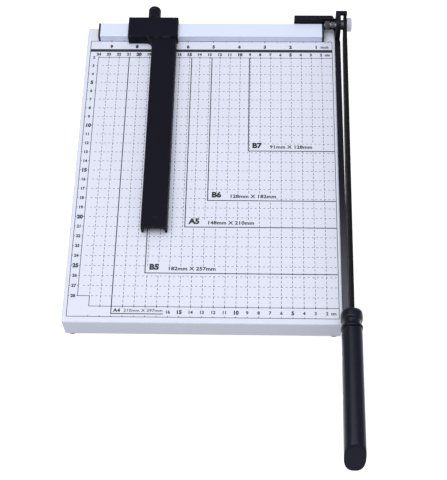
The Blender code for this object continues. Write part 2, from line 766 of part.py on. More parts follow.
def spring_points():
    """The centre line of the compression spring, from the ear's face along -X."""
    turns = np.linspace(0, SPRING_CURLS, SPRING_CURLS * SPRING_POINTS_PER_CURL + 1)
    along = EAR_LEFT - SEAT_GAP - SPRING_WIRE_RADIUS - SPRING_PITCH * turns
    y = PIVOT.y + SPRING_MEAN_RADIUS * np.cos(2 * np.pi * turns)
    z = PIVOT.z + SPRING_MEAN_RADIUS * np.sin(2 * np.pi * turns)
    return np.column_stack([along, y, z])


def least_self_gap(points, radius, near):
    """The smallest clear distance between stretches of a wire that lie more than near points apart."""
    apart = np.linalg.norm(points[:, None] - points[None], axis=2)
    index = np.arange(len(points))
    far = np.abs(index[:, None] - index[None]) > near
    return apart[far].min() - 2 * radius


def pivot_hardware(frame):
    """The shoulder bolt on the hinge line, with spacer, spring, washer and nut threaded on it."""
    along = Vector((-1, 0, 0))
    head_face = PIVOT + Vector((BLADE_OUTER + SEAT_GAP, 0, 0))
    shoulder = BLADE_OUTER + SEAT_GAP - EAR_LEFT
    points = spring_points()
    spring_end = points[-1][0] - SPRING_WIRE_RADIUS
    washer_face = spring_end - SEAT_GAP
    nut_face = washer_face - PIVOT_WASHER_HEIGHT - SEAT_GAP
    tip = nut_face - PIVOT_NUT_HEIGHT - PIVOT_THREAD_REST
    bolt(
        "pivot_bolt",
        frame,
        PIVOT_HEAD_FLATS,
        PIVOT_HEAD_HEIGHT,
        head_face,
        along,
        [(PIVOT_SHOULDER_RADIUS, shoulder), (PIVOT_THREAD_RADIUS, EAR_LEFT - tip)],
    )
    spacer_height = BLADE_STANDOFF - EAR_RIGHT - 2 * SEAT_GAP
    spacer_face = PIVOT + Vector((BLADE_STANDOFF - SEAT_GAP, 0, 0))
    bore = PIVOT_SHOULDER_RADIUS + SEAT_GAP
    spacer = washer("pivot_spacer", SPACER_RADIUS, bore, spacer_height, spacer_face, along)
    piece(spacer, frame, "black_oxide")
    bore = PIVOT_THREAD_RADIUS + SEAT_GAP
    face = PIVOT + Vector((washer_face, 0, 0))
    ring = washer("pivot_washer", PIVOT_WASHER_RADIUS, bore, PIVOT_WASHER_HEIGHT, face, along)
    piece(ring, frame, "black_oxide")
    face = PIVOT + Vector((nut_face, 0, 0))
    size = (PIVOT_NUT_FLATS, PIVOT_NUT_HEIGHT, bore)
    nut("pivot_nut", frame, *size, face, along, finish="black_oxide")
    spring = wire("pivot_spring", points, SPRING_WIRE_RADIUS)
    piece(spring, frame, "spring_steel", smooth=True)
    gap = least_self_gap(points, SPRING_WIRE_RADIUS, SPRING_POINTS_PER_CURL // 2)
    print(f"pivot_spring: least gap to itself {gap * 1000:.2f} mm")


def wire(name, points, radius):
    """A round wire along points, with closed ends."""
    curve = bpy.data.curves.new(name, "CURVE")
    curve.dimensions = "3D"
    curve.bevel_depth = radius
    curve.bevel_resolution = 1
    curve.use_fill_caps = True
    spline = curve.splines.new("POLY")
    spline.points.add(len(points) - 1)
    for point, place in zip(spline.points, points):
        point.co = (*place, 1)
    return mesh_from(bpy.data.objects.new(name, curve), name)


def blade_profile():
    """Rows of (y, top, bottom, bevel share) along the blade, from its tail to the end of the tang."""
    edge_end = -(TOE_REACH + EDGE_OVERSHOOT)
    tang_bottom = BLADE_TOP - TANG_HEIGHT
    rows = []
    for y in np.linspace(BLADE_TAIL, 0, TAIL_STATIONS):
        into = max(0, y - (BLADE_TAIL - BLADE_TAIL_CORNER))
        drop = BLADE_TAIL_CORNER - math.sqrt(max(0, BLADE_TAIL_CORNER**2 - into**2))
        rows.append((y, BLADE_TOP - drop, -math.sqrt(BLADE_TAIL_RADIUS**2 - y**2), 0))
    for share in np.linspace(0, 1, HEEL_STATIONS)[1:]:
        ease = (1 - math.cos(math.pi * share)) / 2
        bottom = -BLADE_TAIL_RADIUS - (EDGE_START_DROP - BLADE_TAIL_RADIUS) * ease
        rows.append((-EDGE_START * share, BLADE_TOP, bottom, 0))
    for share in np.linspace(0, 1, EDGE_STATIONS)[1:]:
        y = -EDGE_START + (edge_end + EDGE_START) * share
        bottom = -EDGE_START_DROP - EDGE_BELLY * (1 - (1 - share) ** 2)
        fade = min(1, (-y - EDGE_START) / EDGE_FADE)
        rows.append((y, BLADE_TOP, bottom, fade))
    deepest = rows[-1][2]
    for share in np.linspace(0, 1, SHOULDER_STATIONS)[1:]:
        ease = (1 - math.cos(math.pi * share)) / 2
        bottom = deepest + (tang_bottom - deepest) * ease
        rows.append((edge_end - SHOULDER_LENGTH * share, BLADE_TOP, bottom, 1 - share))
    rows.append((TANG_END, BLADE_TOP, tang_bottom, 0))
    return rows


def moving_blade(frame):
    """The hinged blade: flat on its inner side, its outer side ground away to the cutting edge."""
    rings = []
    for y, top, bottom, share in blade_profile():
        edge_x = BLADE_OUTER - (BLADE_THICKNESS - EDGE_LAND) * share
        ground_z = bottom + EDGE_LAND + (EDGE_BEVEL - EDGE_LAND) * share
        rings.append(
            [
                (BLADE_STANDOFF, y, top),
                (BLADE_OUTER, y, top),
                (BLADE_OUTER, y, ground_z),
                (edge_x, y, bottom),
                (BLADE_STANDOFF, y, bottom),
            ]
        )
    blade = piece(loft("moving_blade", rings), frame, "black_steel")
    hole_radius = PIVOT_SHOULDER_RADIUS + SEAT_GAP
    low = (BLADE_STANDOFF - CUT_OVERRUN, 0, 0)
    high = (BLADE_OUTER + CUT_OVERRUN, 0, 0)
    cut(blade, rod("blade_pivot_hole", hole_radius, low, high, sides=ROUND_STEPS))
    for count, y in enumerate(rivet_places()):
        low = (BLADE_STANDOFF - CUT_OVERRUN, y, tang_middle_z())
        high = (BLADE_OUTER + CUT_OVERRUN, y, tang_middle_z())
        cut(blade, rod(f"tang_hole_{count}", RIVET_RADIUS + SEAT_GAP, low, high))


def tang_middle_z():
    return BLADE_TOP - TANG_HEIGHT / 2


def rivet_places():
    """Places along the stretch of tang that is inside the grip."""
    inside = GRIP_BACK - TANG_END
    return [GRIP_BACK - inside * share for share in RIVET_SHARES]


def squared(value):
    """A sine or cosine drawn towards its ends, which turns an ellipse into a rounded rectangle."""
    return math.copysign(abs(value) ** (2 / SECTION_POWER), value)


def handle_section(width, height, y, slant=0):
    """A ring of the handle's section: a rounded rectangle whose sides and ends bow outwards."""
    ring = []
    for i in range(HANDLE_SIDES):
        angle = 2 * math.pi * (i + 1 / 2) / HANDLE_SIDES
        x = width / 2 * squared(math.cos(angle))
        z = height / 2 * squared(math.sin(angle))
        ring.append((HANDLE_MIDDLE_X + x, y + slant * z / height, HANDLE_MIDDLE_Z + z))
    return ring


def rim(width, height, y, radius, outwards, slant=0):
    """Rings that round an end of the handle over, from the full section to its end face."""
    rings = []
    for step in range(CORNER_STEPS):
        angle = math.pi / 2 * step / (CORNER_STEPS - 1)
        inset = 2 * radius * (1 - math.cos(angle))
        along = outwards * radius * math.sin(angle)
        rings.append(handle_section(width - inset, height - inset, y + along, slant))
    return rings


def handle_collar(frame):
    """The collar: a short barrel with a ring groove, slotted from below to straddle the blade."""
    size = (COLLAR_WIDTH, COLLAR_HEIGHT)
    slim = tuple(side - 2 * COLLAR_GROOVE for side in size)
    back = COLLAR_BACK - COLLAR_ROUND
    front = COLLAR_FRONT + GRIP_RIM
    middle = (back + front) / 2
    rings = rim(*size, back, COLLAR_ROUND, 1)[::-1]
    rings += [
        handle_section(*size, middle + 2 * COLLAR_GROOVE),
        handle_section(*slim, middle + COLLAR_GROOVE),
        handle_section(*slim, middle - COLLAR_GROOVE),
        handle_section(*size, middle - 2 * COLLAR_GROOVE),
    ]
    rings += rim(*size, front, GRIP_RIM, -1)
    collar = piece(loft("handle_collar", rings), frame, "handle_plastic", smooth=True)
    low = (BLADE_STANDOFF - SEAT_GAP, COLLAR_FRONT - CUT_OVERRUN, HANDLE_MIDDLE_Z - COLLAR_HEIGHT)
    high = (BLADE_OUTER + SEAT_GAP, COLLAR_BACK + CUT_OVERRUN, BLADE_TOP + SEAT_GAP)
    cut(collar, box("collar_slot", low, high))


def handle_grip(frame):
    """The grip: a straight round-sided bar with a slanting end, slotted for the tang."""
    back, front = GRIP_BACK - GRIP_SHOULDER, GRIP_FRONT + GRIP_RIM
    back_size = (GRIP_BACK_WIDTH, GRIP_HEIGHT)
    front_size = (GRIP_FRONT_WIDTH, GRIP_HEIGHT)
    rings = rim(*back_size, back, GRIP_SHOULDER, 1)[::-1]
    rings += rim(*front_size, front, GRIP_RIM, -1, slant=GRIP_SLANT)
    grip = piece(loft("handle_grip", rings), frame, "handle_plastic", smooth=True)
    low = (BLADE_STANDOFF - SEAT_GAP, TANG_END - SEAT_GAP, BLADE_TOP - TANG_HEIGHT - SEAT_GAP)
    high = (BLADE_OUTER + SEAT_GAP, GRIP_BACK + CUT_OVERRUN, BLADE_TOP + SEAT_GAP)
    cut(grip, box("tang_slot", low, high))
    side = HANDLE_MIDDLE_X - GRIP_BACK_WIDTH / 2
    low = (side - CUT_OVERRUN, GRIP_BACK - NOTCH_LENGTH, HANDLE_MIDDLE_Z - GRIP_HEIGHT)
    high = (side + NOTCH_DEPTH, GRIP_BACK + CUT_OVERRUN, HANDLE_MIDDLE_Z + GRIP_HEIGHT)
    cut(grip, box("finger_notch", low, high))
    reach = GRIP_BACK_WIDTH / 2 - RIVET_SINK
    for count, y in enumerate(rivet_places()):
        middle = Vector((HANDLE_MIDDLE_X, y, tang_middle_z()))
        across = Vector((GRIP_FRONT_WIDTH / 2 + CUT_OVERRUN, 0, 0))
        hole = rod(f"rivet_hole_{count}", RIVET_RADIUS + SEAT_GAP, middle - across, middle + across)
        cut(grip, hole)
        for side in (-1, 1):
            inner = Vector((side * (reach - RIVET_HEAD_HEIGHT - SEAT_GAP), 0, 0))
            ends = (middle + inner, middle + side * across)
            cut(grip, rod(f"rivet_recess_{count}_{side}", RIVET_RECESS_RADIUS, *ends))
        handle_rivet(f"handle_rivet_{count + 1}", frame, middle, reach)


def handle_rivet(name, frame, middle, reach):
    """A rivet through grip and tang, with a flat head sunk in each side."""
    neck = 2 * reach - RIVET_HEAD_HEIGHT
    profile = [
        (0, 2 * reach),
        (RIVET_HEAD_RADIUS, 2 * reach),
        (RIVET_HEAD_RADIUS, neck),
        (RIVET_RADIUS, neck),
        (RIVET_RADIUS, RIVET_HEAD_HEIGHT),
        (RIVET_HEAD_RADIUS, RIVET_HEAD_HEIGHT),
        (RIVET_HEAD_RADIUS, 0),
        (0, 0),
    ]
    start = middle - Vector((reach, 0, 0))
    piece(turned(name, profile, start, (1, 0, 0), steps=SMALL_STEPS), frame, "zinc_steel")


def gauge_slide(frame):
    """The gauge moulding: a hook over the fence and a hollow arm, joined by a round fillet."""
    hook_bottom = GAUGE_LIFT + SEAT_GAP
    ceiling = FENCE_TOP + SEAT_GAP
    profile = [
        (GAUGE_FRONT, hook_bottom),
        (GAUGE_FRONT, GAUGE_TOP),
        (GAUGE_BACK, GAUGE_TOP),
        (GAUGE_BACK, -GAUGE_BACK_DROP),
        (GAUGE_BACK_INNER, -GAUGE_BACK_DROP),
        (GAUGE_BACK_INNER, ceiling),
        (-SEAT_GAP, ceiling),
        (-SEAT_GAP, hook_bottom),
    ]
    gauge = plate("gauge_slide", profile, "X", GAUGE_LEFT, GAUGE_RIGHT)
    piece(gauge, frame, "black_plastic")
    soften(gauge, GAUGE_EDGE)
    in_wall = -3 * SEAT_GAP
    fillet_left = GAUGE_ARM_LEFT - GAUGE_FILLET - CUT_OVERRUN
    plan = rounded(
        [
            (fillet_left, in_wall, 0),
            (fillet_left, GAUGE_FRONT + SEAT_GAP, 0),
            (GAUGE_ARM_LEFT, GAUGE_FRONT + SEAT_GAP, GAUGE_FILLET),
            (GAUGE_ARM_LEFT, -GAUGE_REACH, 0),
            (GAUGE_ARM_RIGHT, -GAUGE_REACH, 0),
            (GAUGE_ARM_RIGHT, in_wall, 0),
        ]
    )
    arm = plate("gauge_arm", plan, "Z", GAUGE_LIFT, GAUGE_ARM_TOP)
    soften(arm, GAUGE_EDGE)
    join(gauge, arm)
    inner = GAUGE_ARM_WALL
    ceiling = GAUGE_ARM_TOP - GAUGE_ARM_PLATE
    hollow = rounded(
        [
            (GAUGE_ARM_LEFT + inner, GAUGE_LIFT - CUT_OVERRUN, 0),
            (GAUGE_ARM_RIGHT - inner, GAUGE_LIFT - CUT_OVERRUN, 0),
            (GAUGE_ARM_RIGHT - inner, ceiling, GAUGE_ARM_INNER_ROUND),
            (GAUGE_ARM_LEFT + inner, ceiling, GAUGE_ARM_INNER_ROUND),
        ]
    )
    ends = (-GAUGE_REACH - CUT_OVERRUN, GAUGE_FRONT - SEAT_GAP)
    cut(gauge, plate("arm_channel", hollow, "Y", *ends))
    cut(gauge, thumb_dimple())
    ends = (CLAMP - Vector((0, CUT_OVERRUN, 0)), CLAMP + Vector((0, GAUGE_BACK_WALL + CUT_OVERRUN, 0)))
    cut(gauge, rod("clamp_bore", CLAMP_BORE_RADIUS, *ends, sides=ROUND_STEPS))


def thumb_dimple():
    """A shallow hollow on the arm's end, cut by a ball."""
    shape = bmesh.new()
    bmesh.ops.create_uvsphere(shape, u_segments=ROUND_STEPS, v_segments=ROUND_STEPS, radius=1)
    bmesh.ops.scale(shape, vec=Vector((1, 1, 1)) * GAUGE_DIMPLE_RADIUS, verts=shape.verts)
    ball = object_from(shape, "thumb_dimple")
    x = (GAUGE_ARM_LEFT + GAUGE_ARM_RIGHT) / 2
    z = GAUGE_ARM_TOP + GAUGE_DIMPLE_RADIUS - GAUGE_DIMPLE_DEPTH
    ball.location = (x, GAUGE_DIMPLE_INSET - GAUGE_REACH, z)
    return ball


def clamp(gauge_frame, pad_frame, knob_frame):
    """The clamp: a brass insert in the wall, a pad on the screw's tip, and the knob on its tail."""
    back = Vector((0, 1, 0))
    bore = CLAMP_SCREW_RADIUS + SEAT_GAP
    start = Vector((CLAMP.x, GAUGE_BACK - CLAMP_INSERT_LENGTH, CLAMP.z))
    radius = CLAMP_BORE_RADIUS - SEAT_GAP
    insert = washer("threaded_insert", radius, bore, CLAMP_INSERT_LENGTH, start, back)
    piece(insert, gauge_frame, "brass")
    low = (0, PAD_FRONT - CLAMP.y, 0)
    high = (0, PAD_BACK - CLAMP.y, 0)
    pad = rod("clamp_pad", CLAMP_PAD_RADIUS, low, high, sides=ROUND_STEPS)
    piece(pad, pad_frame, "nylon")
    bore_end = KNOB_BACK - KNOB_BORE_END
    low = (0, PAD_BACK + SEAT_GAP - CLAMP.y, 0)
    high = (0, bore_end - SEAT_GAP - CLAMP.y, 0)
    piece(rod("clamp_screw", CLAMP_SCREW_RADIUS, low, high), knob_frame, "zinc_steel")
    knob = piece(loft("clamp_knob", knob_rings()), knob_frame, "black_plastic", smooth=True)
    low = (0, KNOB_FRONT - CUT_OVERRUN - CLAMP.y, 0)
    cut(knob, rod("knob_bore", bore, low, (0, bore_end - CLAMP.y, 0)))


def knob_ring(radius, y, flute):
    """One ring of the knob about its own axis, with shallow flutes."""
    ring = []
    count = KNOB_POINTS_PER_FLUTE * KNOB_FLUTES
    for i in range(count):
        angle = 2 * math.pi * i / count
        here = radius - flute * (1 + math.cos(KNOB_FLUTES * angle)) / 2
        ring.append((here * math.cos(angle), y - CLAMP.y, here * math.sin(angle)))
    return ring


def knob_rings():
    """A plain skirt, a fluted barrel and a rounded end."""
    skirt = KNOB_FRONT + KNOB_SKIRT_LENGTH
    slim = KNOB_RADIUS - KNOB_WAIST
    rings = [
        knob_ring(slim, KNOB_FRONT, 0),
        knob_ring(slim, skirt - KNOB_WAIST, 0),
        knob_ring(KNOB_RADIUS, skirt, KNOB_FLUTE_DEPTH),
    ]
    for step in range(KNOB_RINGS):
        angle = math.pi / 2 * step / KNOB_RINGS
        radius = KNOB_RADIUS * math.cos(angle) ** (1 / 2)
        fade = KNOB_FLUTE_DEPTH * (1 - step / KNOB_RINGS)
        rings.append(knob_ring(radius, KNOB_BACK - KNOB_DOME * (1 - math.sin(angle)), fade))
    return rings


def stand_on_origin(frame):
    """Moves everything so that the middle of its footprint stands on the world's origin."""
    bpy.context.view_layer.update()
    graph = bpy.context.evaluated_depsgraph_get()
    lows, highs = [], []
    for obj in PARTS.objects:
        if obj.type != "MESH":
            continue
        shaped = obj.evaluated_get(graph)
        mesh = shaped.to_mesh()
        places = np.array([shaped.matrix_world @ vertex.co for vertex in mesh.vertices])
        shaped.to_mesh_clear()
        lows.append(places.min(axis=0))
        highs.append(places.max(axis=0))
    low, high = np.min(lows, axis=0), np.max(highs, axis=0)
    frame.location = (-(low[0] + high[0]) / 2, -(low[1] + high[1]) / 2, -low[2])


def build():
    cutter = new_frame("paper_cutter", (0, 0, 0))
    blade_frame = new_frame("blade_pivot", PIVOT, cutter)
    blade_frame.rotation_euler.z = -TOE_IN
    gauge_frame = new_frame("gauge_frame", (0, 0, 0), cutter)
    pad_frame = new_frame("clamp_pad_frame", CLAMP, gauge_frame)
    knob_frame = new_frame("clamp_knob_frame", (0, 0, 0), pad_frame)
    base_tray(cutter)
    feet(cutter)
    fixed_knife(cutter)
    fence(cutter)
    pivot_bracket(cutter)
    pivot_hardware(cutter)
    moving_blade(blade_frame)
    handle_collar(blade_frame)
    handle_grip(blade_frame)
    gauge_slide(gauge_frame)
    clamp(gauge_frame, pad_frame, knob_frame)
    stand_on_origin(cutter)


build()
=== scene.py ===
# %% [markdown]
# # Guillotine paper cutter
#
# A pressed steel bed carries a printed grid, a fence, a fixed knife and a hinged blade with a bar
# handle. A stop slides on the fence. The hard pieces come in as a fixed frame. This script gives
# them their finishes, prints the bed, and makes the fine surfaces that the frame leaves plain.
#
# Each step has a text cell that says what the thing is on the real cutter, how it could be made,
# and why this way was chosen, and then short code cells that make it.

import json
import math

import bmesh
import bpy
import numpy as np
from mathutils import Matrix, Vector


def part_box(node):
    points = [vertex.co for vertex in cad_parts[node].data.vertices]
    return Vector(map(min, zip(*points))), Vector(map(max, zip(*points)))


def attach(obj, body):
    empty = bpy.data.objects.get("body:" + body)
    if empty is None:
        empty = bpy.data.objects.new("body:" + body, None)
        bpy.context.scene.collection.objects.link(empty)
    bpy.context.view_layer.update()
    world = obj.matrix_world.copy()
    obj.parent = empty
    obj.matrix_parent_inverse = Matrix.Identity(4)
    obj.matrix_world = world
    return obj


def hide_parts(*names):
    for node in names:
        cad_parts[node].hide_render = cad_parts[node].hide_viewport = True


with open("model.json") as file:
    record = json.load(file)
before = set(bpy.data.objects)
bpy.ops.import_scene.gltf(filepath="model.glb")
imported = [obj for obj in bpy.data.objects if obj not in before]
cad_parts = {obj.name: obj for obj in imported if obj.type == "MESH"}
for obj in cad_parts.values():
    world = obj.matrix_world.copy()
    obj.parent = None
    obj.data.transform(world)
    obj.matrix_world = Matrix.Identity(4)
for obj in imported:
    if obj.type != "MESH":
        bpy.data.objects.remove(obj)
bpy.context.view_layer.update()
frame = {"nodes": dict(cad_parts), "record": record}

# %% [markdown]
# ## Where things are
#
# The printed grid, the camera and most sizes of the real cutter are measured from three places:
# the cutting face of the fixed knife, the front of the fence, and the top of the bed. They are read
# from the frame's boxes, so that nothing here repeats a number that the frame already holds.

# %% The three reference places
KNIFE_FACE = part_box("fixed_knife")[1].x
FENCE_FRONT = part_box("fence_bar")[0].y
BED_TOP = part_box("base_tray")[1].z
BED_LOW, BED_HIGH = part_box("base_tray")
print(f"knife face x {KNIFE_FACE:.4f}, fence front y {FENCE_FRONT:.4f}, bed top z {BED_TOP:.4f}")


def bed_place(across_cm, down_cm, height=0.0):
    """A point of the printed scale: centimetres left of its zero and centimetres from the fence."""
    zero = KNIFE_FACE + 0.001
    return Vector((zero - across_cm / 100, FENCE_FRONT - down_cm / 100, BED_TOP + height))


# %% [markdown]
# ## Camera
#
# The photograph looks down on the bed from the front, a little from the left. The camera could be
# turned by eye until the outlines agree. Here its place was worked out from the printed grid
# instead: the grid's crossings are a known centimetre apart, so the one camera that puts all of
# them where the photograph shows them is found by least squares.

# %% A camera from its place, the way it looks, and its roll
camera_data = bpy.data.cameras.new("photo_camera")
camera = bpy.data.objects.new("photo_camera", camera_data)
bpy.context.scene.collection.objects.link(camera)
bpy.context.scene.camera = camera

looks = Vector((-0.0292612, 0.46379027, -0.88546167)).normalized()
roll = math.radians(-2.687)
level = looks.cross(Vector((0, 0, 1))).normalized()
upright = level.cross(looks)
right = level * math.cos(roll) + upright * math.sin(roll)
above = upright * math.cos(roll) - level * math.sin(roll)
eye = bed_place(8.1698, 70.8711, 0.92717)
camera.matrix_world = Matrix(
    (
        (right.x, above.x, -looks.x, eye.x),
        (right.y, above.y, -looks.y, eye.y),
        (right.z, above.z, -looks.z, eye.z),
        (0, 0, 0, 1),
    )
)
camera_data.sensor_width = 36
camera_data.lens = 36 * 1155.15 / 480
camera_data.clip_start, camera_data.clip_end = 0.05, 20
print("camera at", tuple(round(value, 3) for value in eye), "lens", round(camera_data.lens, 1))

# %% [markdown]
# ## Floor and light
#
# The photograph is a product picture: a white surround, soft light from all sides and a little
# more from above. A sky of one grey lights everything evenly, one large lamp overhead makes the
# top faces brighter than the upright ones, and a weaker one in front opens the shadows. The floor
# is pale and shows white to the camera by a little added glow, so that shadows still darken it.

# %% Rays that show a surface or the sky, and don't light it


def seen_ray(tree):
    """1 for a ray from the camera, a mirror or glass, and 0 for a ray that only brings light."""
    path = tree.nodes.new("ShaderNodeLightPath")
    value = path.outputs["Is Camera Ray"]
    for name in ("Is Glossy Ray", "Is Transmission Ray"):
        either = tree.nodes.new("ShaderNodeMath")
        either.operation = "MAXIMUM"
        tree.links.new(value, either.inputs[0])
        tree.links.new(path.outputs[name], either.inputs[1])
        value = either.outputs[0]
    return value


# %% World
world = bpy.data.worlds.new("studio")
bpy.context.scene.world = world
world.use_nodes = True
nodes, links = world.node_tree.nodes, world.node_tree.links
nodes.clear()
sky = nodes.new("ShaderNodeBackground")
sky.inputs["Color"].default_value = (0.93, 0.96, 1.0, 1)
sky.inputs["Strength"].default_value = 0.44
white = nodes.new("ShaderNodeBackground")
white.inputs["Color"].default_value = (1, 1, 1, 1)
white.inputs["Strength"].default_value = 1
choose = nodes.new("ShaderNodeMixShader")
out = nodes.new("ShaderNodeOutputWorld")
links.new(seen_ray(world.node_tree), choose.inputs["Fac"])
links.new(sky.outputs[0], choose.inputs[1])
links.new(white.outputs[0], choose.inputs[2])
links.new(choose.outputs[0], out.inputs["Surface"])

# %% Lamps


def softbox(name, place, target, size, power):
    """A square area lamp at a place, turned to face a target."""
    light = bpy.data.lights.new(name, "AREA")
    light.shape = "SQUARE"
    light.size = size
    light.energy = power
    light.color = (0.95, 0.975, 1.0)
    lamp = bpy.data.objects.new(name, light)
    lamp.location = place
    lamp.rotation_euler = (Vector(target) - Vector(place)).to_track_quat("-Z", "Y").to_euler()
    bpy.context.scene.collection.objects.link(lamp)
    return lamp


softbox("overhead", (-0.25, -0.15, 1.8), (0, 0, 0), 1.6, 25)
softbox("front_fill", (0.3, -1.8, 0.9), (0, 0, 0.02), 1.4, 1.5)

# %% Floor
floor_mesh = bpy.data.meshes.new("floor")
reach = 6.0
corners = [(-reach, -reach, 0), (reach, -reach, 0), (reach, reach, 0), (-reach, reach, 0)]
floor_mesh.from_pydata(corners, [], [(0, 1, 2, 3)])
floor = bpy.data.objects.new("floor", floor_mesh)
bpy.context.scene.collection.objects.link(floor)

floor_finish = bpy.data.materials.new("pale_floor")
floor_finish.use_nodes = True
nodes, links = floor_finish.node_tree.nodes, floor_finish.node_tree.links
shader = nodes["Principled BSDF"]
shader.inputs["Base Color"].default_value = (0.50, 0.50, 0.51, 1)
shader.inputs["Roughness"].default_value = 0.9
shader.inputs["Specular IOR Level"].default_value = 0.1
shader.inputs["Emission Strength"].default_value = 0.85
links.new(seen_ray(floor_finish.node_tree), shader.inputs["Emission Color"])
floor_mesh.materials.append(floor_finish)

# %% [markdown]
# ## Shared effects
#
# Real finishes are never one flat value. Paint has a faint orange peel, moulded plastic a fine
# grain, ground steel lines along the way it was ground, and edges change where hands wear them;
# on the plastics the paler edges are also a painted highlight. Each effect is one node group with
# its own inputs, so that several finishes share it with different amounts. The groups read Object
# coordinates, which are metres on the real thing.

# %% A group with named sockets


def new_group(name, inputs, outputs):
    """A shader node group. Inputs are (name, kind, value), and outputs are (name, kind)."""
    group = bpy.data.node_groups.new(name, "ShaderNodeTree")
    for title, kind, value in inputs:
        socket = group.interface.new_socket(title, in_out="INPUT", socket_type=kind)
        socket.default_value = value
    for title, kind in outputs:
        group.interface.new_socket(title, in_out="OUTPUT", socket_type=kind)
    start = group.nodes.new("NodeGroupInput")
    end = group.nodes.new("NodeGroupOutput")
    return group, start, end


def add(tree, kind, **settings):
    """A node of a kind, with its settings."""
    node = tree.nodes.new("ShaderNode" + kind)
    for name, value in settings.items():
        setattr(node, name, value)
    return node


def calculate(tree, operation, first, second, clamp=False):
    """A Math node fed by sockets or numbers."""
    node = add(tree, "Math", operation=operation, use_clamp=clamp)
    for place, value in enumerate((first, second)):
        if isinstance(value, bpy.types.NodeSocket):
            tree.links.new(value, node.inputs[place])
        else:
            node.inputs[place].default_value = value
    return node.outputs[0]


FLOAT, COLOUR, VECTOR = "NodeSocketFloat", "NodeSocketColor", "NodeSocketVector"

# %% Grain: an even noise, for orange peel and moulded texture
grain, start, end = new_group(
    "even_grain",
    [("Size mm", FLOAT, 1.0), ("Contrast", FLOAT, 1.0)],
    [("Value", FLOAT)],
)
where = add(grain, "TexCoord")
noise = add(grain, "TexNoise")
noise.inputs["Detail"].default_value = 3
scale = calculate(grain, "DIVIDE", 1000, start.outputs["Size mm"])
grain.links.new(where.outputs["Object"], noise.inputs["Vector"])
grain.links.new(scale, noise.inputs["Scale"])
centred = calculate(grain, "SUBTRACT", noise.outputs["Fac"], 0.5)
spread = calculate(grain, "MULTIPLY", centred, start.outputs["Contrast"])
grain.links.new(calculate(grain, "ADD", spread, 0.5, clamp=True), end.inputs["Value"])

# %% Grinding lines: a noise drawn out along one way
ground, start, end = new_group(
    "ground_lines",
    [("Stretch", VECTOR, (1, 1, 1)), ("Contrast", FLOAT, 1.0)],
    [("Value", FLOAT)],
)
where = add(ground, "TexCoord")
stretch = add(ground, "VectorMath", operation="MULTIPLY")
noise = add(ground, "TexNoise")
noise.inputs["Scale"].default_value = 1000
noise.inputs["Detail"].default_value = 4
noise.inputs["Roughness"].default_value = 0.65
ground.links.new(where.outputs["Object"], stretch.inputs[0])
ground.links.new(start.outputs["Stretch"], stretch.inputs[1])
ground.links.new(stretch.outputs[0], noise.inputs["Vector"])
centred = calculate(ground, "SUBTRACT", noise.outputs["Fac"], 0.5)
spread = calculate(ground, "MULTIPLY", centred, start.outputs["Contrast"])
ground.links.new(calculate(ground, "ADD", spread, 0.5, clamp=True), end.inputs["Value"])

# %% Edge mask, for wear and for painted edge highlights: where a rounded normal leaves the true one, broken up by noise
wear_and_highlight_group, start, end = new_group(
    "edge_wear_and_highlight",
    [("Radius mm", FLOAT, 0.5), ("Amount", FLOAT, 1.0), ("Patch mm", FLOAT, 6.0)],
    [("Mask", FLOAT)],
)
rounded = add(wear_and_highlight_group, "Bevel", samples=4)
true = add(wear_and_highlight_group, "NewGeometry")
agree = add(wear_and_highlight_group, "VectorMath", operation="DOT_PRODUCT")
wear_and_highlight_group.links.new(
    calculate(wear_and_highlight_group, "DIVIDE", start.outputs["Radius mm"], 1000), rounded.inputs["Radius"]
)
wear_and_highlight_group.links.new(rounded.outputs["Normal"], agree.inputs[0])
wear_and_highlight_group.links.new(true.outputs["Normal"], agree.inputs[1])
edge = calculate(wear_and_highlight_group, "SUBTRACT", 1, agree.outputs["Value"])
where = add(wear_and_highlight_group, "TexCoord")
noise = add(wear_and_highlight_group, "TexNoise")
noise.inputs["Detail"].default_value = 4
wear_and_highlight_group.links.new(where.outputs["Object"], noise.inputs["Vector"])
wear_and_highlight_group.links.new(calculate(wear_and_highlight_group, "DIVIDE", 1000, start.outputs["Patch mm"]), noise.inputs["Scale"])
patches = calculate(wear_and_highlight_group, "SUBTRACT", noise.outputs["Fac"], 0.42)
patches = calculate(wear_and_highlight_group, "MULTIPLY", patches, 4, clamp=True)
broken = calculate(wear_and_highlight_group, "MULTIPLY", edge, patches)
strong = calculate(wear_and_highlight_group, "MULTIPLY", broken, start.outputs["Amount"], clamp=True)
wear_and_highlight_group.links.new(strong, end.inputs["Mask"])

# %% [markdown]
# ## Finishes
#
# A finish is one material: a Principled shader with its plain colour, roughness and metal set on
# its own sockets where they are the same all over, and the groups linked in where they change.
# A small helper puts the common parts together, and each finish then adds what only it has.

# %% The helper for a finish


def place_group(material, group, **values):
    """A group node in a material, with values for its inputs. Underscores stand for spaces."""
    node = material.node_tree.nodes.new("ShaderNodeGroup")
    node.node_tree = group
    for name, value in values.items():
        node.inputs[name.replace("_", " ")].default_value = value
    return node


def new_finish(name, colour, roughness, metal=0.0, shine=0.5):
    """A material with plain values. Colours are linear."""
    material = bpy.data.materials.new(name)
    material.use_nodes = True
    shader = material.node_tree.nodes["Principled BSDF"]
    shader.inputs["Base Color"].default_value = (*colour, 1)
    shader.inputs["Roughness"].default_value = roughness
    shader.inputs["Metallic"].default_value = metal
    shader.inputs["Specular IOR Level"].default_value = shine
    material.diffuse_color = (*colour, 1)
    return material, shader


def vary(material, shader, socket, value, low, high):
    """Links a value from 0 to 1 to a socket of the shader, spread from low to high."""
    node = add(material.node_tree, "MapRange")
    node.inputs["To Min"].default_value = low
    node.inputs["To Max"].default_value = high
    material.node_tree.links.new(value, node.inputs["Value"])
    material.node_tree.links.new(node.outputs["Result"], shader.inputs[socket])


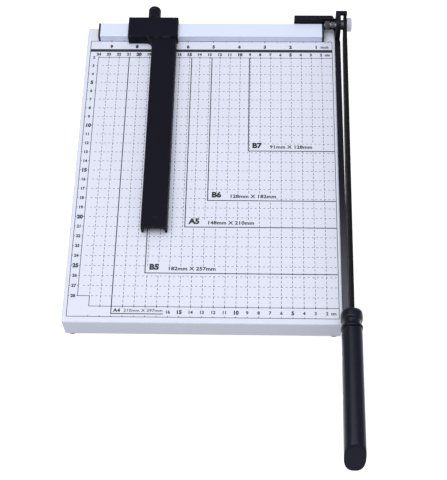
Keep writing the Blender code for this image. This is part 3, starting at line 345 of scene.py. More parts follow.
def blend_colours(material, factor, first, second):
    """The colour between two colours, or sockets, by a factor socket."""
    node = add(material.node_tree, "Mix", data_type="RGBA")
    links = material.node_tree.links
    links.new(factor, node.inputs["Factor"])
    for title, value in (("A", first), ("B", second)):
        sockets = [socket for socket in node.inputs if socket.name == title]
        socket = next(s for s in sockets if s.type == "RGBA")
        if isinstance(value, bpy.types.NodeSocket):
            links.new(value, socket)
        else:
            socket.default_value = (*value, 1)
    return next(s for s in node.outputs if s.type == "RGBA")


def bumped(material, shader, height, depth_mm, strength=1.0):
    """Roughens the surface by a height from 0 to 1 that stands for a depth."""
    node = add(material.node_tree, "Bump")
    node.inputs["Strength"].default_value = strength
    node.inputs["Distance"].default_value = depth_mm / 1000
    material.node_tree.links.new(height, node.inputs["Height"])
    material.node_tree.links.new(node.outputs["Normal"], shader.inputs["Normal"])


# %% Enamel on the bed and the fence
FINISH = {}


def enamel(name, colour, worn):
    """Sprayed enamel: a faint orange peel, a slightly uneven tone, and dull rubbed edges."""
    material, shader = new_finish(name, colour, 0.40, shine=0.4)
    peel = place_group(material, grain, Size_mm=1.6, Contrast=1.0)
    tone = place_group(material, grain, Size_mm=45.0, Contrast=1.2)
    wear_and_sheen = place_group(material, wear_and_highlight_group, Radius_mm=0.7, Amount=2.2, Patch_mm=9.0)
    darker = tuple(value * 0.965 for value in colour)
    even = blend_colours(material, tone.outputs["Value"], darker, colour)
    tinted = blend_colours(material, wear_and_sheen.outputs["Mask"], even, worn)
    material.node_tree.links.new(tinted, shader.inputs["Base Color"])
    vary(material, shader, "Roughness", tone.outputs["Value"], 0.34, 0.46)
    bumped(material, shader, peel.outputs["Value"], 0.02, 0.35)
    return material


FINISH["white_enamel"] = enamel("white_enamel", (0.755, 0.765, 0.875), (0.62, 0.62, 0.68))
FINISH["fence_enamel"] = enamel("fence_enamel", (0.75, 0.80, 0.96), (0.60, 0.64, 0.74))

# %% Black paint on the knife and the bracket


def black_paint(name, colour):
    """Satin black paint, thin at the edges, where the steel shines through in patches."""
    material, shader = new_finish(name, colour, 0.42, shine=0.07)
    peel = place_group(material, grain, Size_mm=0.9, Contrast=1.0)
    tone = place_group(material, grain, Size_mm=18.0, Contrast=1.4)
    bare = place_group(material, wear_and_highlight_group, Radius_mm=0.35, Amount=3.0, Patch_mm=4.0)
    steel = (0.16, 0.16, 0.18)
    tinted = blend_colours(material, bare.outputs["Mask"], colour, steel)
    material.node_tree.links.new(tinted, shader.inputs["Base Color"])
    material.node_tree.links.new(bare.outputs["Mask"], shader.inputs["Metallic"])
    vary(material, shader, "Roughness", tone.outputs["Value"], 0.34, 0.50)
    bumped(material, shader, peel.outputs["Value"], 0.02, 0.4)
    return material


FINISH["black_enamel"] = black_paint("black_enamel", (0.0075, 0.0070, 0.0130))

# %% The fixed knife's paint, with a painted reflection that turns it grey towards the user's end
knife_paint_and_sheen, knife_shader = new_finish("knife_paint_and_sheen", (0.012, 0.010, 0.016), 0.36, shine=0.07)
tree = knife_paint_and_sheen.node_tree
where = add(tree, "TexCoord")
parts = add(tree, "SeparateXYZ")
tree.links.new(where.outputs["Object"], parts.inputs[0])
# Painted reflection: the black paint turns grey towards the user's end, in place of the gloss reflection
# there, broken up by streaks.
sheen_nearness = add(tree, "MapRange", interpolation_type="SMOOTHERSTEP")
sheen_nearness.inputs["From Min"].default_value = FENCE_FRONT - 0.13
sheen_nearness.inputs["From Max"].default_value = FENCE_FRONT - 0.36
tree.links.new(parts.outputs["Y"], sheen_nearness.inputs["Value"])
streaks = place_group(knife_paint_and_sheen, ground, Stretch=(1.6, 0.08, 1.0), Contrast=0.9)
uneven = calculate(tree, "MULTIPLY_ADD", streaks.outputs["Value"], 0.35)
uneven.node.inputs[2].default_value = 0.825
wear_and_sheen = calculate(tree, "MULTIPLY", sheen_nearness.outputs["Result"], uneven, clamp=True)
# Painted reflection colour: the paint blended towards a reflected grey, not worn paint.
paint_and_sheen_colour = blend_colours(knife_paint_and_sheen, wear_and_sheen, (0.0105, 0.0090, 0.0150), (0.140, 0.136, 0.165))
edges = place_group(knife_paint_and_sheen, wear_and_highlight_group, Radius_mm=0.4, Amount=2.5, Patch_mm=5.0)
edged = blend_colours(knife_paint_and_sheen, edges.outputs["Mask"], paint_and_sheen_colour, (0.17, 0.17, 0.19))
tree.links.new(edged, knife_shader.inputs["Base Color"])
vary(knife_paint_and_sheen, knife_shader, "Roughness", streaks.outputs["Value"], 0.32, 0.46)
bumped(knife_paint_and_sheen, knife_shader, streaks.outputs["Value"], 0.01, 0.4)
FINISH["knife_paint_and_sheen"] = knife_paint_and_sheen

# %% Ground steel with a painted back, for the blade


def blade_steel(name, paint_line):
    """Steel ground across its length below a line, and painted black above it."""
    material, shader = new_finish(name, (0.50, 0.50, 0.52), 0.40, metal=1.0, shine=0.06)
    tree = material.node_tree
    where = add(tree, "TexCoord")
    parts = add(tree, "SeparateXYZ")
    tree.links.new(where.outputs["Object"], parts.inputs[0])
    ripple = place_group(material, grain, Size_mm=6.0, Contrast=1.0)
    wavy = calculate(tree, "MULTIPLY", ripple.outputs["Value"], 0.0008)
    height = calculate(tree, "ADD", parts.outputs["Z"], wavy)
    above_line = calculate(tree, "SUBTRACT", height, paint_line)
    painted = calculate(tree, "MULTIPLY", above_line, 4000, clamp=True)
    lines = place_group(material, ground, Stretch=(1.0, 2.2, 0.12), Contrast=1.6)
    bright = blend_colours(material, lines.outputs["Value"], (0.42, 0.42, 0.44), (0.60, 0.60, 0.62))
    both = blend_colours(material, painted, bright, (0.0060, 0.0058, 0.0070))
    tree.links.new(both, shader.inputs["Base Color"])
    tree.links.new(calculate(tree, "SUBTRACT", 1, painted), shader.inputs["Metallic"])
    dullness = calculate(tree, "MAXIMUM", lines.outputs["Value"], painted)
    vary(material, shader, "Roughness", dullness, 0.36, 0.62)
    bumped(material, shader, lines.outputs["Value"], 0.01, 0.5)
    return material


FINISH["blade_steel"] = blade_steel("blade_steel", BED_TOP + 0.0035)

# %% Plated steel, spring wire and brass


def plated(name, colour, rough_low, rough_high):
    """Plated or drawn metal: fine lines, cloudy tone."""
    material, shader = new_finish(name, colour, rough_low, metal=1.0)
    lines = place_group(material, ground, Stretch=(1.5, 1.5, 1.5), Contrast=1.2)
    cloud = place_group(material, grain, Size_mm=5.0, Contrast=1.5)
    dull = tuple(value * 0.78 for value in colour)
    tinted = blend_colours(material, cloud.outputs["Value"], dull, colour)
    material.node_tree.links.new(tinted, shader.inputs["Base Color"])
    vary(material, shader, "Roughness", cloud.outputs["Value"], rough_high, rough_low)
    bumped(material, shader, lines.outputs["Value"], 0.006, 0.5)
    return material


FINISH["zinc_steel"] = plated("zinc_steel", (0.50, 0.51, 0.58), 0.28, 0.42)
FINISH["spring_steel"] = plated("spring_steel", (0.21, 0.21, 0.24), 0.50, 0.62)
FINISH["black_oxide"] = plated("black_oxide", (0.075, 0.075, 0.085), 0.34, 0.46)
FINISH["brass"] = plated("brass", (0.64, 0.46, 0.18), 0.28, 0.40)

# %% Moulded plastics and rubber


def moulded(name, colour, rough_low, rough_high, grain_mm, depth_mm, shine=0.14, edge=0.02):
    """Moulded plastic: fine texture, cloudy sheen, and paler edges from wear plus a painted highlight."""
    material, shader = new_finish(name, colour, rough_low, shine=shine)
    fine = place_group(material, grain, Size_mm=grain_mm, Contrast=1.0)
    cloud = place_group(material, grain, Size_mm=22.0, Contrast=1.5)
    wear_and_sheen = place_group(material, wear_and_highlight_group, Radius_mm=0.9, Amount=7.0, Patch_mm=8.0)
    # Painted highlight: edges are lifted far paler than wear alone would make them, in place of the light
    # that rounded edges catch.
    edge_wear_and_highlight_colour = tuple(value * 2.5 + edge for value in colour)
    slightly = tuple(value * 1.25 for value in colour)
    even = blend_colours(material, cloud.outputs["Value"], colour, slightly)
    tinted = blend_colours(material, wear_and_sheen.outputs["Mask"], even, edge_wear_and_highlight_colour)
    material.node_tree.links.new(tinted, shader.inputs["Base Color"])
    vary(material, shader, "Roughness", cloud.outputs["Value"], rough_low, rough_high)
    bumped(material, shader, fine.outputs["Value"], depth_mm, 0.5)
    return material


# The black plastics get a strong pale edge: a painted highlight along their edges, on top of wear.
FINISH["black_plastic"] = moulded(
    "black_plastic", (0.0050, 0.0047, 0.0105), 0.42, 0.54, 0.5, 0.03, shine=0.055, edge=0.07
)
FINISH["handle_plastic"] = moulded(
    "handle_plastic", (0.0014, 0.0011, 0.0085), 0.25, 0.32, 0.7, 0.02, shine=0.15, edge=0.07
)
FINISH["cap_plastic"] = moulded("cap_plastic", (0.020, 0.022, 0.036), 0.50, 0.60, 0.5, 0.03)
FINISH["rubber"] = moulded("rubber", (0.018, 0.018, 0.018), 0.75, 0.88, 0.6, 0.05, shine=0.2)
FINISH["nylon"] = moulded("nylon", (0.66, 0.64, 0.57), 0.45, 0.55, 0.8, 0.02, shine=0.5)

# %% Give every piece of the frame its finish
slot_of = {row["node"]: row["material_slot"] for row in frame["record"]["subparts"]}
for name, node in frame["nodes"].items():
    node.data.materials.clear()
    node.data.materials.append(FINISH["knife_paint_and_sheen" if name == "fixed_knife" else slot_of[name]])
print("finishes in use:", sorted(set(slot_of.values())))

# %% [markdown]
# ## Surfaces on a grid
#
# The frame's round pieces have few sides. That suits a simulation, but it shows as flats in a
# picture. A subdivision modifier would round their true corners too. So the round pieces are worked
# out again as grids: one number runs round the section, another along the piece, and the place of
# every point is one formula of the two. Each finer piece keeps to the box of the one it replaces.

# %% From a grid of rings to a closed skin


def skin(rings):
    """Faces between rings (row, column, xyz), closed at both ends by a fan to the ring's middle."""
    rows, columns = rings.shape[:2]
    index = np.arange(rows * columns).reshape(rows, columns)
    after = np.roll(index, -1, axis=1)
    quads = np.stack([index[:-1], after[:-1], after[1:], index[1:]], axis=-1).reshape(-1, 4)
    points = np.vstack([rings.reshape(-1, 3), rings[0].mean(axis=0), rings[-1].mean(axis=0)])
    fans = np.vstack(
        [
            np.column_stack([after[0], index[0], np.full(columns, rows * columns)]),
            np.column_stack([index[-1], after[-1], np.full(columns, rows * columns + 1)]),
        ]
    )
    triangles = np.vstack([quads[:, :3], quads[:, [0, 2, 3]], fans])
    a, b, c = (points[triangles[:, i]] for i in range(3))
    if np.einsum("ij,ij->i", a, np.cross(b, c)).sum() < 0:
        quads, fans = quads[:, ::-1], fans[:, ::-1]
    return points, quads.tolist() + fans.tolist()


# %% A piece in its place


def new_piece(name, points, faces, finish, body, smooth=False):
    """A mesh piece in place in the frame, riding on one of its bodies."""
    mesh = bpy.data.meshes.new(name)
    mesh.from_pydata(points.tolist(), [], faces.tolist() if hasattr(faces, "tolist") else faces)
    mesh.update()
    if smooth:
        mesh.shade_smooth()
        mesh.set_sharp_from_angle(angle=math.radians(32))
    obj = bpy.data.objects.new(name, mesh)
    bpy.context.scene.collection.objects.link(obj)
    mesh.materials.append(FINISH[finish])
    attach(obj, body)
    return obj


def stand_in(node, points, faces, body):
    """A finer piece for one node of the frame, with that node's finish. Prints how well it fits."""
    piece = new_piece("fine_" + node, points, faces, slot_of[node], body, smooth=True)
    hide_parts(node)
    low, high = (np.array(corner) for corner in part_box(node))
    proud = max((low - points.min(axis=0)).max(), (points.max(axis=0) - high).max())
    print(f"{node}: {len(faces)} faces, stands proud of the frame's box by {proud * 1000:.2f} mm")
    return piece


# %% Cutting slots and holes in a skin


def carved(body, cutters):
    """A skin less each cutter, by exact Boolean differences. A skin is a pair (points, faces)."""
    solids = []
    for points, faces in (body, *cutters):
        mesh = bpy.data.meshes.new("carving")
        mesh.from_pydata(np.asarray(points).tolist(), [], faces)
        solids.append(bpy.data.objects.new("carving", mesh))
        bpy.context.scene.collection.objects.link(solids[-1])
    for cutter in solids[1:]:
        step = solids[0].modifiers.new("cut", "BOOLEAN")
        step.operation, step.solver, step.object = "DIFFERENCE", "EXACT", cutter
    graph = bpy.context.evaluated_depsgraph_get()
    mesh = bpy.data.meshes.new_from_object(solids[0].evaluated_get(graph))
    places = np.zeros(len(mesh.vertices) * 3)
    mesh.vertices.foreach_get("co", places)
    faces = [tuple(face.vertices) for face in mesh.polygons]
    bpy.data.meshes.remove(mesh)
    for solid in solids:
        bpy.data.meshes.remove(solid.data)
    return places.reshape(-1, 3), faces


def block(low, high):
    """A box as a skin: two square rings, one at each end of its length."""
    (x0, y0, z0), (x1, y1, z1) = low, high
    square = np.array([(x0, z0), (x1, z0), (x1, z1), (x0, z1)])
    return skin(np.array([[(x, y, z) for x, z in square] for y in (y0, y1)]))


def drill(radius, y, z, x_from, x_to):
    """A round cutter along X: two rings of 32 points at equal angles."""
    turn = 2 * np.pi * np.arange(32) / 32
    ring = np.column_stack([0 * turn, y + radius * np.cos(turn), z + radius * np.sin(turn)])
    return skin(np.array([ring + (x, 0, 0) for x in (x_from, x_to)]))


# %% [markdown]
# ## Handle
#
# The handle is a moulded bar on the blade's tang, with a collar that straddles the blade in front
# of it. Its section is between an ellipse and a rounded rectangle. Lofting a few hand-drawn
# sections would do, but a squared ellipse is one formula with one number for how square it is, so
# all rings come from it at once. The slots and the rivet holes are then cut as on the real mould.

# %% The hinge line, and the handle's sizes in metres from it
PIVOT = np.array(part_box("pivot_spacer")).mean(axis=0) * (0, 1, 1) + (KNIFE_FACE, 0, 0)
REACH = PIVOT[1] - BED_LOW.y
TOE_IN = math.asin(0.0020 / REACH)
MIDDLE_X, MIDDLE_Z, SQUARENESS = 0.0030, 0.00195, 2.6
BLADE_INNER, BLADE_OUTER, BLADE_TOP, GAP = 0.0023, 0.0053, 0.0075, 0.0003
TANG_LOW, TANG_END = -0.0075, -(REACH + 0.0845)
COLLAR_BACK, COLLAR_LENGTH = -(REACH - 0.0067), 0.0170
COLLAR_FRONT = COLLAR_BACK - COLLAR_LENGTH
GRIP_BACK, GRIP_LENGTH = COLLAR_FRONT - GAP, 0.1123
print("hinge line at", PIVOT.round(4), "blade turned in by", round(math.degrees(TOE_IN), 3), "deg")


def on_blade(points):
    """From the blade's own axes to the frame's: a turn about the hinge's upright line, then a move."""
    c, s = math.cos(TOE_IN), math.sin(TOE_IN)
    return points @ np.array([(c, -s, 0), (s, c, 0), (0, 0, 1)]) + PIVOT


# %% Rings of the handle's section
AROUND = 2 * np.pi * (np.arange(96) + 0.5) / 96
QUARTER = np.linspace(0, np.pi / 2, 10)


def bar_rings(width, height, along, slope):
    """Squared ellipses: half the size times a cosine or sine raised to 2 over the squareness.

    Each ring leans along the bar by its slope times the height.
    """
    wide, tall = (np.sign(f) * np.abs(f) ** (2 / SQUARENESS) for f in (np.cos(AROUND), np.sin(AROUND)))
    x = MIDDLE_X + np.outer(width, wide) / 2
    z = np.outer(height, tall) / 2
    y = along[:, None] + slope[:, None] * z
    return np.stack([x, y, MIDDLE_Z + z], axis=-1)


def rounded_ends(along, radius_first, radius_last):
    """Insets and steps for a bar whose two ends are rounded over by quarter circles.

    One more ring inside each end keeps the flat end face flat in the shading.
    """
    inward, outward = np.append(1 - np.cos(QUARTER), 1.4), np.append(np.sin(QUARTER), 1)
    flat, turns = np.zeros(len(along) - 2), len(inward)
    inset = np.concatenate([radius_first * inward[::-1], flat, radius_last * inward])
    step = np.concatenate([radius_first * outward[::-1], flat, -radius_last * outward])
    place = np.concatenate([np.full(turns, along[0]), along[1:-1], np.full(turns, along[-1])])
    return inset, place + step, (place - along[0]) / (along[-1] - along[0])


# %% Grip
SLOPE = 0.64
inset, along, share = rounded_ends(
    np.linspace(GRIP_BACK - 0.0012, GRIP_BACK - GRIP_LENGTH + 0.0009, 28), 0.0012, 0.0016
)
grip_width = 0.0178 + 0.0007 * share
grip = skin(bar_rings(grip_width - 2 * inset, 0.0235 - 2 * inset, along, SLOPE * share))
tang_middle = (BLADE_TOP + TANG_LOW) / 2
tang_inside = GRIP_BACK - TANG_END
cutters = [
    block(
        (BLADE_INNER - GAP, TANG_END - GAP, TANG_LOW - GAP),
        (BLADE_OUTER + GAP, GRIP_BACK + 0.002, BLADE_TOP + GAP),
    ),
    block(
        (MIDDLE_X - 0.0109, GRIP_BACK - 0.004, MIDDLE_Z - 0.0235),
        (MIDDLE_X - 0.0067, GRIP_BACK + 0.002, MIDDLE_Z + 0.0235),
    ),
]
for place in (GRIP_BACK - tang_inside / 3, GRIP_BACK - tang_inside * 4 / 5):
    cutters.append(drill(0.0023, place, tang_middle, MIDDLE_X - 0.0112, MIDDLE_X + 0.0112))
    for side in (-1, 1):
        ends = sorted((MIDDLE_X + side * 0.0064, MIDDLE_X + side * 0.0112))
        cutters.append(drill(0.0038, place, tang_middle, *ends))
points, faces = carved(grip, cutters)
stand_in("handle_grip", on_blade(points), faces, "blade_arm")

# %% Collar: a barrel with a waist
inset, along, share = rounded_ends(
    np.linspace(COLLAR_BACK - 0.0042, COLLAR_FRONT + 0.0006, 26), 0.0042, 0.0008
)
WAIST_PLACE, WAIST_REACH, WAIST_DEPTH = COLLAR_BACK - 0.0120, 0.0029, 0.0019
inset = inset + WAIST_DEPTH * np.exp(-(((along - WAIST_PLACE) / WAIST_REACH) ** 6))
collar = skin(bar_rings(0.0190 - 2 * inset, 0.0245 - 2 * inset, along, 0 * share))
slot = block(
    (BLADE_INNER - GAP, COLLAR_FRONT - 0.002, MIDDLE_Z - 0.0245),
    (BLADE_OUTER + GAP, COLLAR_BACK + 0.002, BLADE_TOP + GAP),
)
points, faces = carved(collar, [slot])
stand_in("handle_collar", on_blade(points), faces, "blade_arm")

# %% [markdown]
# ## Hinge hardware
#
# A bolt with a hexagon head carries the blade, and a spring on its tail pulls the blade against the
# knife. Blender's bolt tools would add a whole library of shapes for this. One radius that depends
# on the angle does it: a hexagon for the head, a circle for the shank, and a circle with a
# travelling notch for the thread. A cone takes the head's corners off, as on a turned bolt.

# %% One bolt as a grid of radii
TURN = 2 * np.pi * np.arange(72) / 72
PITCH, THREAD_DEPTH = 0.0008, 0.00018


def bolt_rings(length, head, flats, shank, thread, plain):
    """Rings along a bolt, from its tip to its head, as places along it and radii.

    Hexagon: half the width over the cosine of the angle from a flat. Thread: the radius less a
    depth times the distance from the nearest whole turn of place over pitch less angle.
    """
    hexagon = flats / 2 / np.cos(TURN % (np.pi / 3) - np.pi / 6)
    chamfer = flats * 0.475
    at = np.arange(0.0004, length - head - plain, PITCH / 5)
    turns = at[:, None] / PITCH - TURN[None] / (2 * np.pi)
    groove = 1 - 2 * np.abs(turns - np.round(turns))
    cut_off = (1 - chamfer / hexagon) * hexagon * math.tan(math.pi / 6)
    whole = np.ones(72)
    places = [0 * whole, *(at[:, None] * whole)]
    radii = [(thread - 0.0004) * whole, *(thread - THREAD_DEPTH * groove)]
    under, top = length - head, length
    for place, radius in (
        (under - plain, (thread - THREAD_DEPTH) * whole),
        (under - plain + 0.00002, shank * whole),
        (under, shank * whole),
        (under, chamfer * whole),
        (under + 0.0002, chamfer * whole),
        (under + 0.0002, hexagon),
        (top - cut_off, hexagon),
        (top, chamfer * whole),
    ):
        places.append(place * whole)
        radii.append(radius)
    return np.array(places), np.array(radii)


# %% The hinge bolt, along X
low, high = (np.array(corner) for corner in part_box("pivot_bolt"))
middle = (low + high) / 2
places, radii = bolt_rings(high[0] - low[0], 0.0047, 0.013, 0.0035, 0.0020, 0.0106)
rings = np.stack(
    [low[0] + places, middle[1] + radii * np.cos(TURN), middle[2] + radii * np.sin(TURN)], axis=-1
)
stand_in("pivot_bolt", *skin(rings), "base")

# %% The bracket's two bolts, along Y
for node in ("bracket_bolt_1", "bracket_bolt_2"):
    low, high = (np.array(corner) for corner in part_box(node))
    middle = (low + high) / 2
    places, radii = bolt_rings(high[1] - low[1], 0.004, 0.010, 0.0030, 0.0030, 0.0050)
    rings = np.stack(
        [middle[0] + radii * np.cos(TURN), low[1] + places, middle[2] + radii * np.sin(TURN)],
        axis=-1,
    )
    stand_in(node, *skin(rings), "base")

# %% Spring: a round wire along a helix
low, high = (np.array(corner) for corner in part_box("pivot_spring"))
WIRE, COIL, CURLS = 0.00062, 0.00260, 3
angle = np.linspace(0, 2 * np.pi * CURLS, 40 * CURLS + 1)[:, None]
around = 2 * np.pi * np.arange(14)[None] / 14
climb = (high[0] - low[0] - 2 * WIRE) / (2 * np.pi * CURLS)
length = math.hypot(climb, COIL)
outward = np.stack([0 * angle, np.cos(angle), np.sin(angle)], axis=-1)
sideways = np.stack([COIL + 0 * angle, -climb * np.sin(angle), climb * np.cos(angle)], axis=-1) / length
centre = np.stack([high[0] - WIRE - climb * angle, PIVOT[1] + 0 * angle, PIVOT[2] + 0 * angle], -1)
rings = centre + outward * (COIL + WIRE * np.cos(around)[..., None])
rings = rings + sideways * WIRE * np.sin(around)[..., None]
stand_in("pivot_spring", *skin(rings), "base")

# %% [markdown]
# ## Clamp knob
#
# The knob at the back of the stop is a moulded cap with shallow grip flutes and a rounded end. It
# could be a lathe shape with a Boolean for each flute. Here the flutes are a ripple in the radius,
# so the whole knob, bore included, is one grid with no cutting.

# %% Knob: radius along its axis times a ripple round it
low, high = (np.array(corner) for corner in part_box("clamp_knob"))
middle, KNOB_RADIUS = (low + high) / 2, 0.00623
knob_turn = 2 * np.pi * np.arange(144) / 144
DOME, DOME_SQUARENESS, FLUTES = 0.0044, 2.8, 12
rise = np.linspace(0, 1, 16)[:-1]
dome = KNOB_RADIUS * (1 - rise**DOME_SQUARENESS) ** (1 / DOME_SQUARENESS)
bore_end = high[1] - 0.004
profile = [(bore_end, 0.0028, 0), (low[1], 0.0028, 0), (low[1], 0.0052, 0), (low[1] + 0.0004, 0.0056, 0)]
profile += [(low[1] + 0.0020, 0.0056, 0), (low[1] + 0.0024, KNOB_RADIUS, 0)]
profile += [(low[1] + 0.0030, KNOB_RADIUS, 1), (high[1] - DOME - 0.0012, KNOB_RADIUS, 1)]
profile += [(high[1] - DOME - 0.0007, KNOB_RADIUS, 0), (high[1] - DOME - 0.0004, KNOB_RADIUS - 0.0003, 0)]
profile += [(high[1] - DOME + DOME * r, radius, 0) for r, radius in zip(rise, dome)]
along, radius, fluted = np.array(profile).T
ripple = 0.00040 * fluted[:, None] * (0.5 + 0.5 * np.cos(FLUTES * knob_turn)) ** 2
reach = radius[:, None] - ripple
rings = np.stack(
    [
        middle[0] + reach * np.cos(knob_turn),
        along[:, None] + 0 * reach,
        middle[2] + reach * np.sin(knob_turn),
    ],
    axis=-1,
)
stand_in("clamp_knob", *skin(rings), "clamp_hand")

# %% [markdown]
# ## The printed bed
#
# The bed is screen-printed in black: an inch scale and a centimetre scale along the fence, a
# centimetre scale down the left side and along the front, a grid of dashed lines, and the outlines
# of common sheets. It could be a pattern in the enamel's material. But the lines are a third of a
# millimetre wide on a bed 250 mm wide, so a pattern would blur as soon as it is baked to a map.
# Thin flat ink, lying on the enamel, stays sharp at any size. All dashes are made at once as arrays.

# %% Ink that lies on the enamel
INK_LIFT = 0.00005
FINISH["ink"], ink_shader = new_finish("ink", (0.014, 0.015, 0.026), 0.48, shine=0.3)
speckle = place_group(FINISH["ink"], grain, Size_mm=0.8, Contrast=1.6)
thin_ink = blend_colours(
    FINISH["ink"], speckle.outputs["Value"], (0.006, 0.007, 0.014), (0.020, 0.022, 0.036)
)
FINISH["ink"].node_tree.links.new(thin_ink, ink_shader.inputs["Base Color"])


def bars(centres, sizes):
    """Flat bars as quads: corner = centre plus or minus half the size, across and down, in cm."""
    signs = np.array([(-1, -1), (1, -1), (1, 1), (-1, 1)])
    corners = centres[:, None, :] + signs[None] * sizes[:, None, :] / 2
    corners = corners.reshape(-1, 2)
    origin = np.array(bed_place(0, 0, INK_LIFT))
    points = np.column_stack([-corners[:, 0], -corners[:, 1], np.zeros(len(corners))]) / 100
    return points + origin, np.arange(len(corners)).reshape(-1, 4)


def face_up(mesh_faces, points):
    """Turns flat faces over where they face down: the sign of their first corner's cross product."""
    a, b, c = (points[mesh_faces[:, i]] for i in range(3))
    down = np.cross(b - a, c - a)[:, 2] < 0
    mesh_faces[down] = mesh_faces[down][:, ::-1]
    return mesh_faces


# %% The sheets outlined on the bed: name, width and length in millimetres
SHEETS = [("B7", 91, 128), ("B6", 128, 182), ("A5", 148, 210), ("B5", 182, 257), ("A4", 210, 297)]
LINE, THIN, HEAVY = 0.085, 0.055, 0.33
LEFT, INNER, RIGHT = 24.91, 24.07, 0.94

solid = [  # (across from, across to, down from, down to, width), all in cm
    (LEFT, RIGHT, 0, 0, THIN),
    (LEFT, RIGHT, 30, 30, THIN),
    (LEFT, LEFT, 0, 30, THIN),
    (RIGHT, RIGHT, 0, 30, THIN),
    (LEFT, RIGHT, 1.15, 1.15, HEAVY),
    (INNER, RIGHT, 2, 2, THIN),
    (INNER, INNER, 2, 28, THIN),
    (INNER, 23, 28, 28, THIN),
    (23, 23, 28, 29, THIN),
    (23, RIGHT, 29, 29, THIN),
]
for title, wide, long in SHEETS:
    across, down = wide / 10, long / 10
    stop = RIGHT if title != "A4" else 16.4
    solid.append((across, across, 2, down, LINE))
    solid.append((across + LINE / 2, stop, down, down, LINE))
solid = np.array(solid)
centres = np.column_stack([solid[:, :2].mean(axis=1), solid[:, 2:4].mean(axis=1)])
spans = np.column_stack([np.ptp(solid[:, :2], axis=1), np.ptp(solid[:, 2:4], axis=1)])
solid_sizes = np.maximum(spans, solid[:, 4:5])

# %% Ticks along the scales, and the dashes of the grid
LEVEL_DASH, UPRIGHT_DASH, DASH_PITCH, DASH_WIDTH = 0.18, 0.25, 0.40, 0.042


def ticks(at, edge, length, along):
    """Short bars from a scale's edge. Along 0 spreads them across the bed, and 1 down it."""
    at = np.asarray(at, float)
    middle = np.full(len(at), edge + length / 2)
    pair = [at, middle] if along == 0 else [middle, at]
    size = np.tile([THIN, abs(length)] if along == 0 else [abs(length), THIN], (len(at), 1))
    return np.column_stack(pair), size


marks = [
    ticks(np.arange(1, 10) * 2.54, 0, 0.16, 0),
    ticks((np.arange(1, 10) - 0.5) * 2.54, 0, 0.10, 0),
    ticks(np.arange(2, 25), 2, -0.12, 0),
    ticks(np.arange(2, 23), 29, -0.12, 0),
    ticks(np.arange(2, 23), 29, 0.10, 0),
    ticks(np.arange(3, 24), 30, -0.12, 0),
    ticks(np.arange(3, 29), INNER, 0.12, 1),
    ticks(np.arange(3, 29), LEFT, -0.12, 1),
]

steps = np.arange(1.16, 23.9, DASH_PITCH)
rows = np.arange(3, 29)
across, down = np.meshgrid(steps, rows)
level_dashes = np.column_stack([across.ravel(), down.ravel()])
columns = np.arange(2, 24)
across, down = np.meshgrid(columns, np.arange(2.09, 28.9, DASH_PITCH))
upright_dashes = np.column_stack([across.ravel(), down.ravel()])


def clear_of_labels(dashes):
    """Leaves out dashes under a sheet's label."""
    keep = np.ones(len(dashes), bool)
    for _, wide, long in SHEETS:
        left, low = wide / 10, long / 10
        beside = (dashes[:, 0] < left - 0.1) & (dashes[:, 0] > left - 6.4)
        keep &= ~(beside & (dashes[:, 1] > low - 0.8) & (dashes[:, 1] < low))
    return dashes[keep]


dash_sets = []
for dashes, size in (
    (clear_of_labels(level_dashes), (LEVEL_DASH, DASH_WIDTH)),
    (clear_of_labels(upright_dashes), (DASH_WIDTH, UPRIGHT_DASH)),
):
    dash_sets.append((dashes, np.tile(size, (len(dashes), 1))))

groups = [(centres, solid_sizes), *marks, *dash_sets]
all_centres = np.concatenate([group[0] for group in groups])
all_sizes = np.concatenate([group[1] for group in groups])
points, faces = bars(all_centres, all_sizes)
printed_grid = new_piece("printed_grid", points, face_up(faces, points), "ink", "base")
print("printed bars:", len(faces))

# %% [markdown]
# ## Numbers on the scales
#
# The scales carry plain numbers and units, and each sheet outline its size. Blender's text objects
# give good outlines at once, and drawing digits by hand would gain nothing. Each text becomes a
# flat mesh, and all of them are put in one piece, because they are one pass of the same screen.

# %% One text, flat and filled, as points and faces


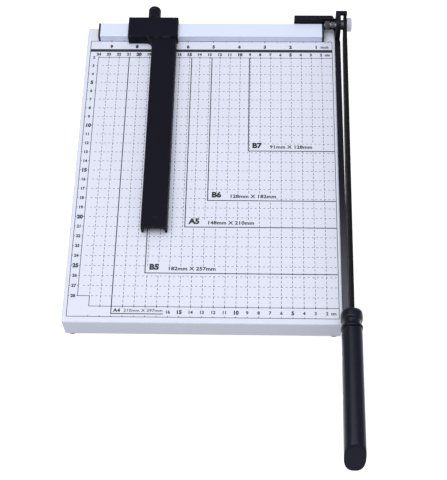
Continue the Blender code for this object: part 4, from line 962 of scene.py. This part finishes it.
def lettering(words, across_cm, down_cm, cap_mm, heavy=0.0, align="CENTER", stretch=1.0, gap=1.0):
    """A text's flat mesh. Its middle height lies at the place, and cap_mm is a capital's height."""
    curve = bpy.data.curves.new("lettering", "FONT")
    curve.body = words
    curve.align_x = align
    curve.size = cap_mm / 0.70 / 1000
    curve.offset = heavy * cap_mm / 1000
    curve.space_character = gap
    curve.resolution_u = 3
    holder = bpy.data.objects.new("lettering", curve)
    bpy.context.scene.collection.objects.link(holder)
    bpy.context.view_layer.update()
    shaped = holder.evaluated_get(bpy.context.evaluated_depsgraph_get())
    mesh = bpy.data.meshes.new_from_object(shaped)
    places = np.zeros(len(mesh.vertices) * 3)
    mesh.vertices.foreach_get("co", places)
    places = places.reshape(-1, 3) * (stretch, 1, 0)
    places[:, 1] -= cap_mm / 2000
    faces = [tuple(face.vertices) for face in mesh.polygons]
    bpy.data.objects.remove(holder)
    bpy.data.curves.remove(curve)
    bpy.data.meshes.remove(mesh)
    return places + np.array(bed_place(across_cm, down_cm, INK_LIFT)), faces


# %% Every number and unit of the bed
texts = []
for inch in range(1, 10):
    texts.append(lettering(str(inch), inch * 2.54 - 0.03, 0.66, 3.5, heavy=0.09))
texts.append(lettering("inch", 1.68, 0.66, 2.9, heavy=0.06, gap=1.15))
for number in range(2, 25):
    bold = number % 5 == 0
    cap, heavy = (3.4, 0.10) if bold else (3.0, 0.08)
    texts.append(lettering(str(number), number + 0.05, 1.60, cap, heavy))
for number in range(2, 29):
    bold = number % 5 == 0
    cap, heavy = (3.7, 0.09) if bold else (2.9, 0.07)
    texts.append(lettering(str(number), 24.49, number, cap, heavy))
for number in range(2, 17):
    bold = number % 5 == 0
    cap, heavy = (3.5, 0.08) if bold else (3.0, 0.055)
    texts.append(lettering(str(number), number, 29.5, cap, heavy))
texts.append(lettering("cm", 1.42, 1.60, 2.8, 0.07))
texts.append(lettering("cm", 1.42, 29.5, 2.8, 0.05))
for title, wide, long in SHEETS:
    left, low = wide / 10, long / 10
    size = f"{wide}mm X {long}mm"
    if title == "A4":
        texts.append(lettering(title, left - 0.20, low - 0.33, 3.5, 0.045, "LEFT", 1.05))
        texts.append(lettering(size, left - 1.1, low - 0.33, 2.8, 0.02, "LEFT", 1.16, 1.02))
    else:
        texts.append(lettering(title, left - 0.37, low - 0.62, 5.3, 0.08, "LEFT", 1.08))
        texts.append(lettering(size, left - 2.03, low - 0.47, 3.4, 0.05, "LEFT", 1.16, 1.05))
offsets = np.cumsum([0] + [len(places) for places, _ in texts])
points = np.concatenate([places for places, _ in texts])
faces = [tuple(i + shift for i in face) for (_, part), shift in zip(texts, offsets) for face in part]
printed_numbers = new_piece("printed_numbers", points, faces, "ink", "base")
print("printed texts:", len(texts))

# %% [markdown]
# ## View transform
#
# The view transform is Standard, so that colours come out as written.

# %% The view transform
bpy.context.scene.view_settings.view_transform = "Standard"
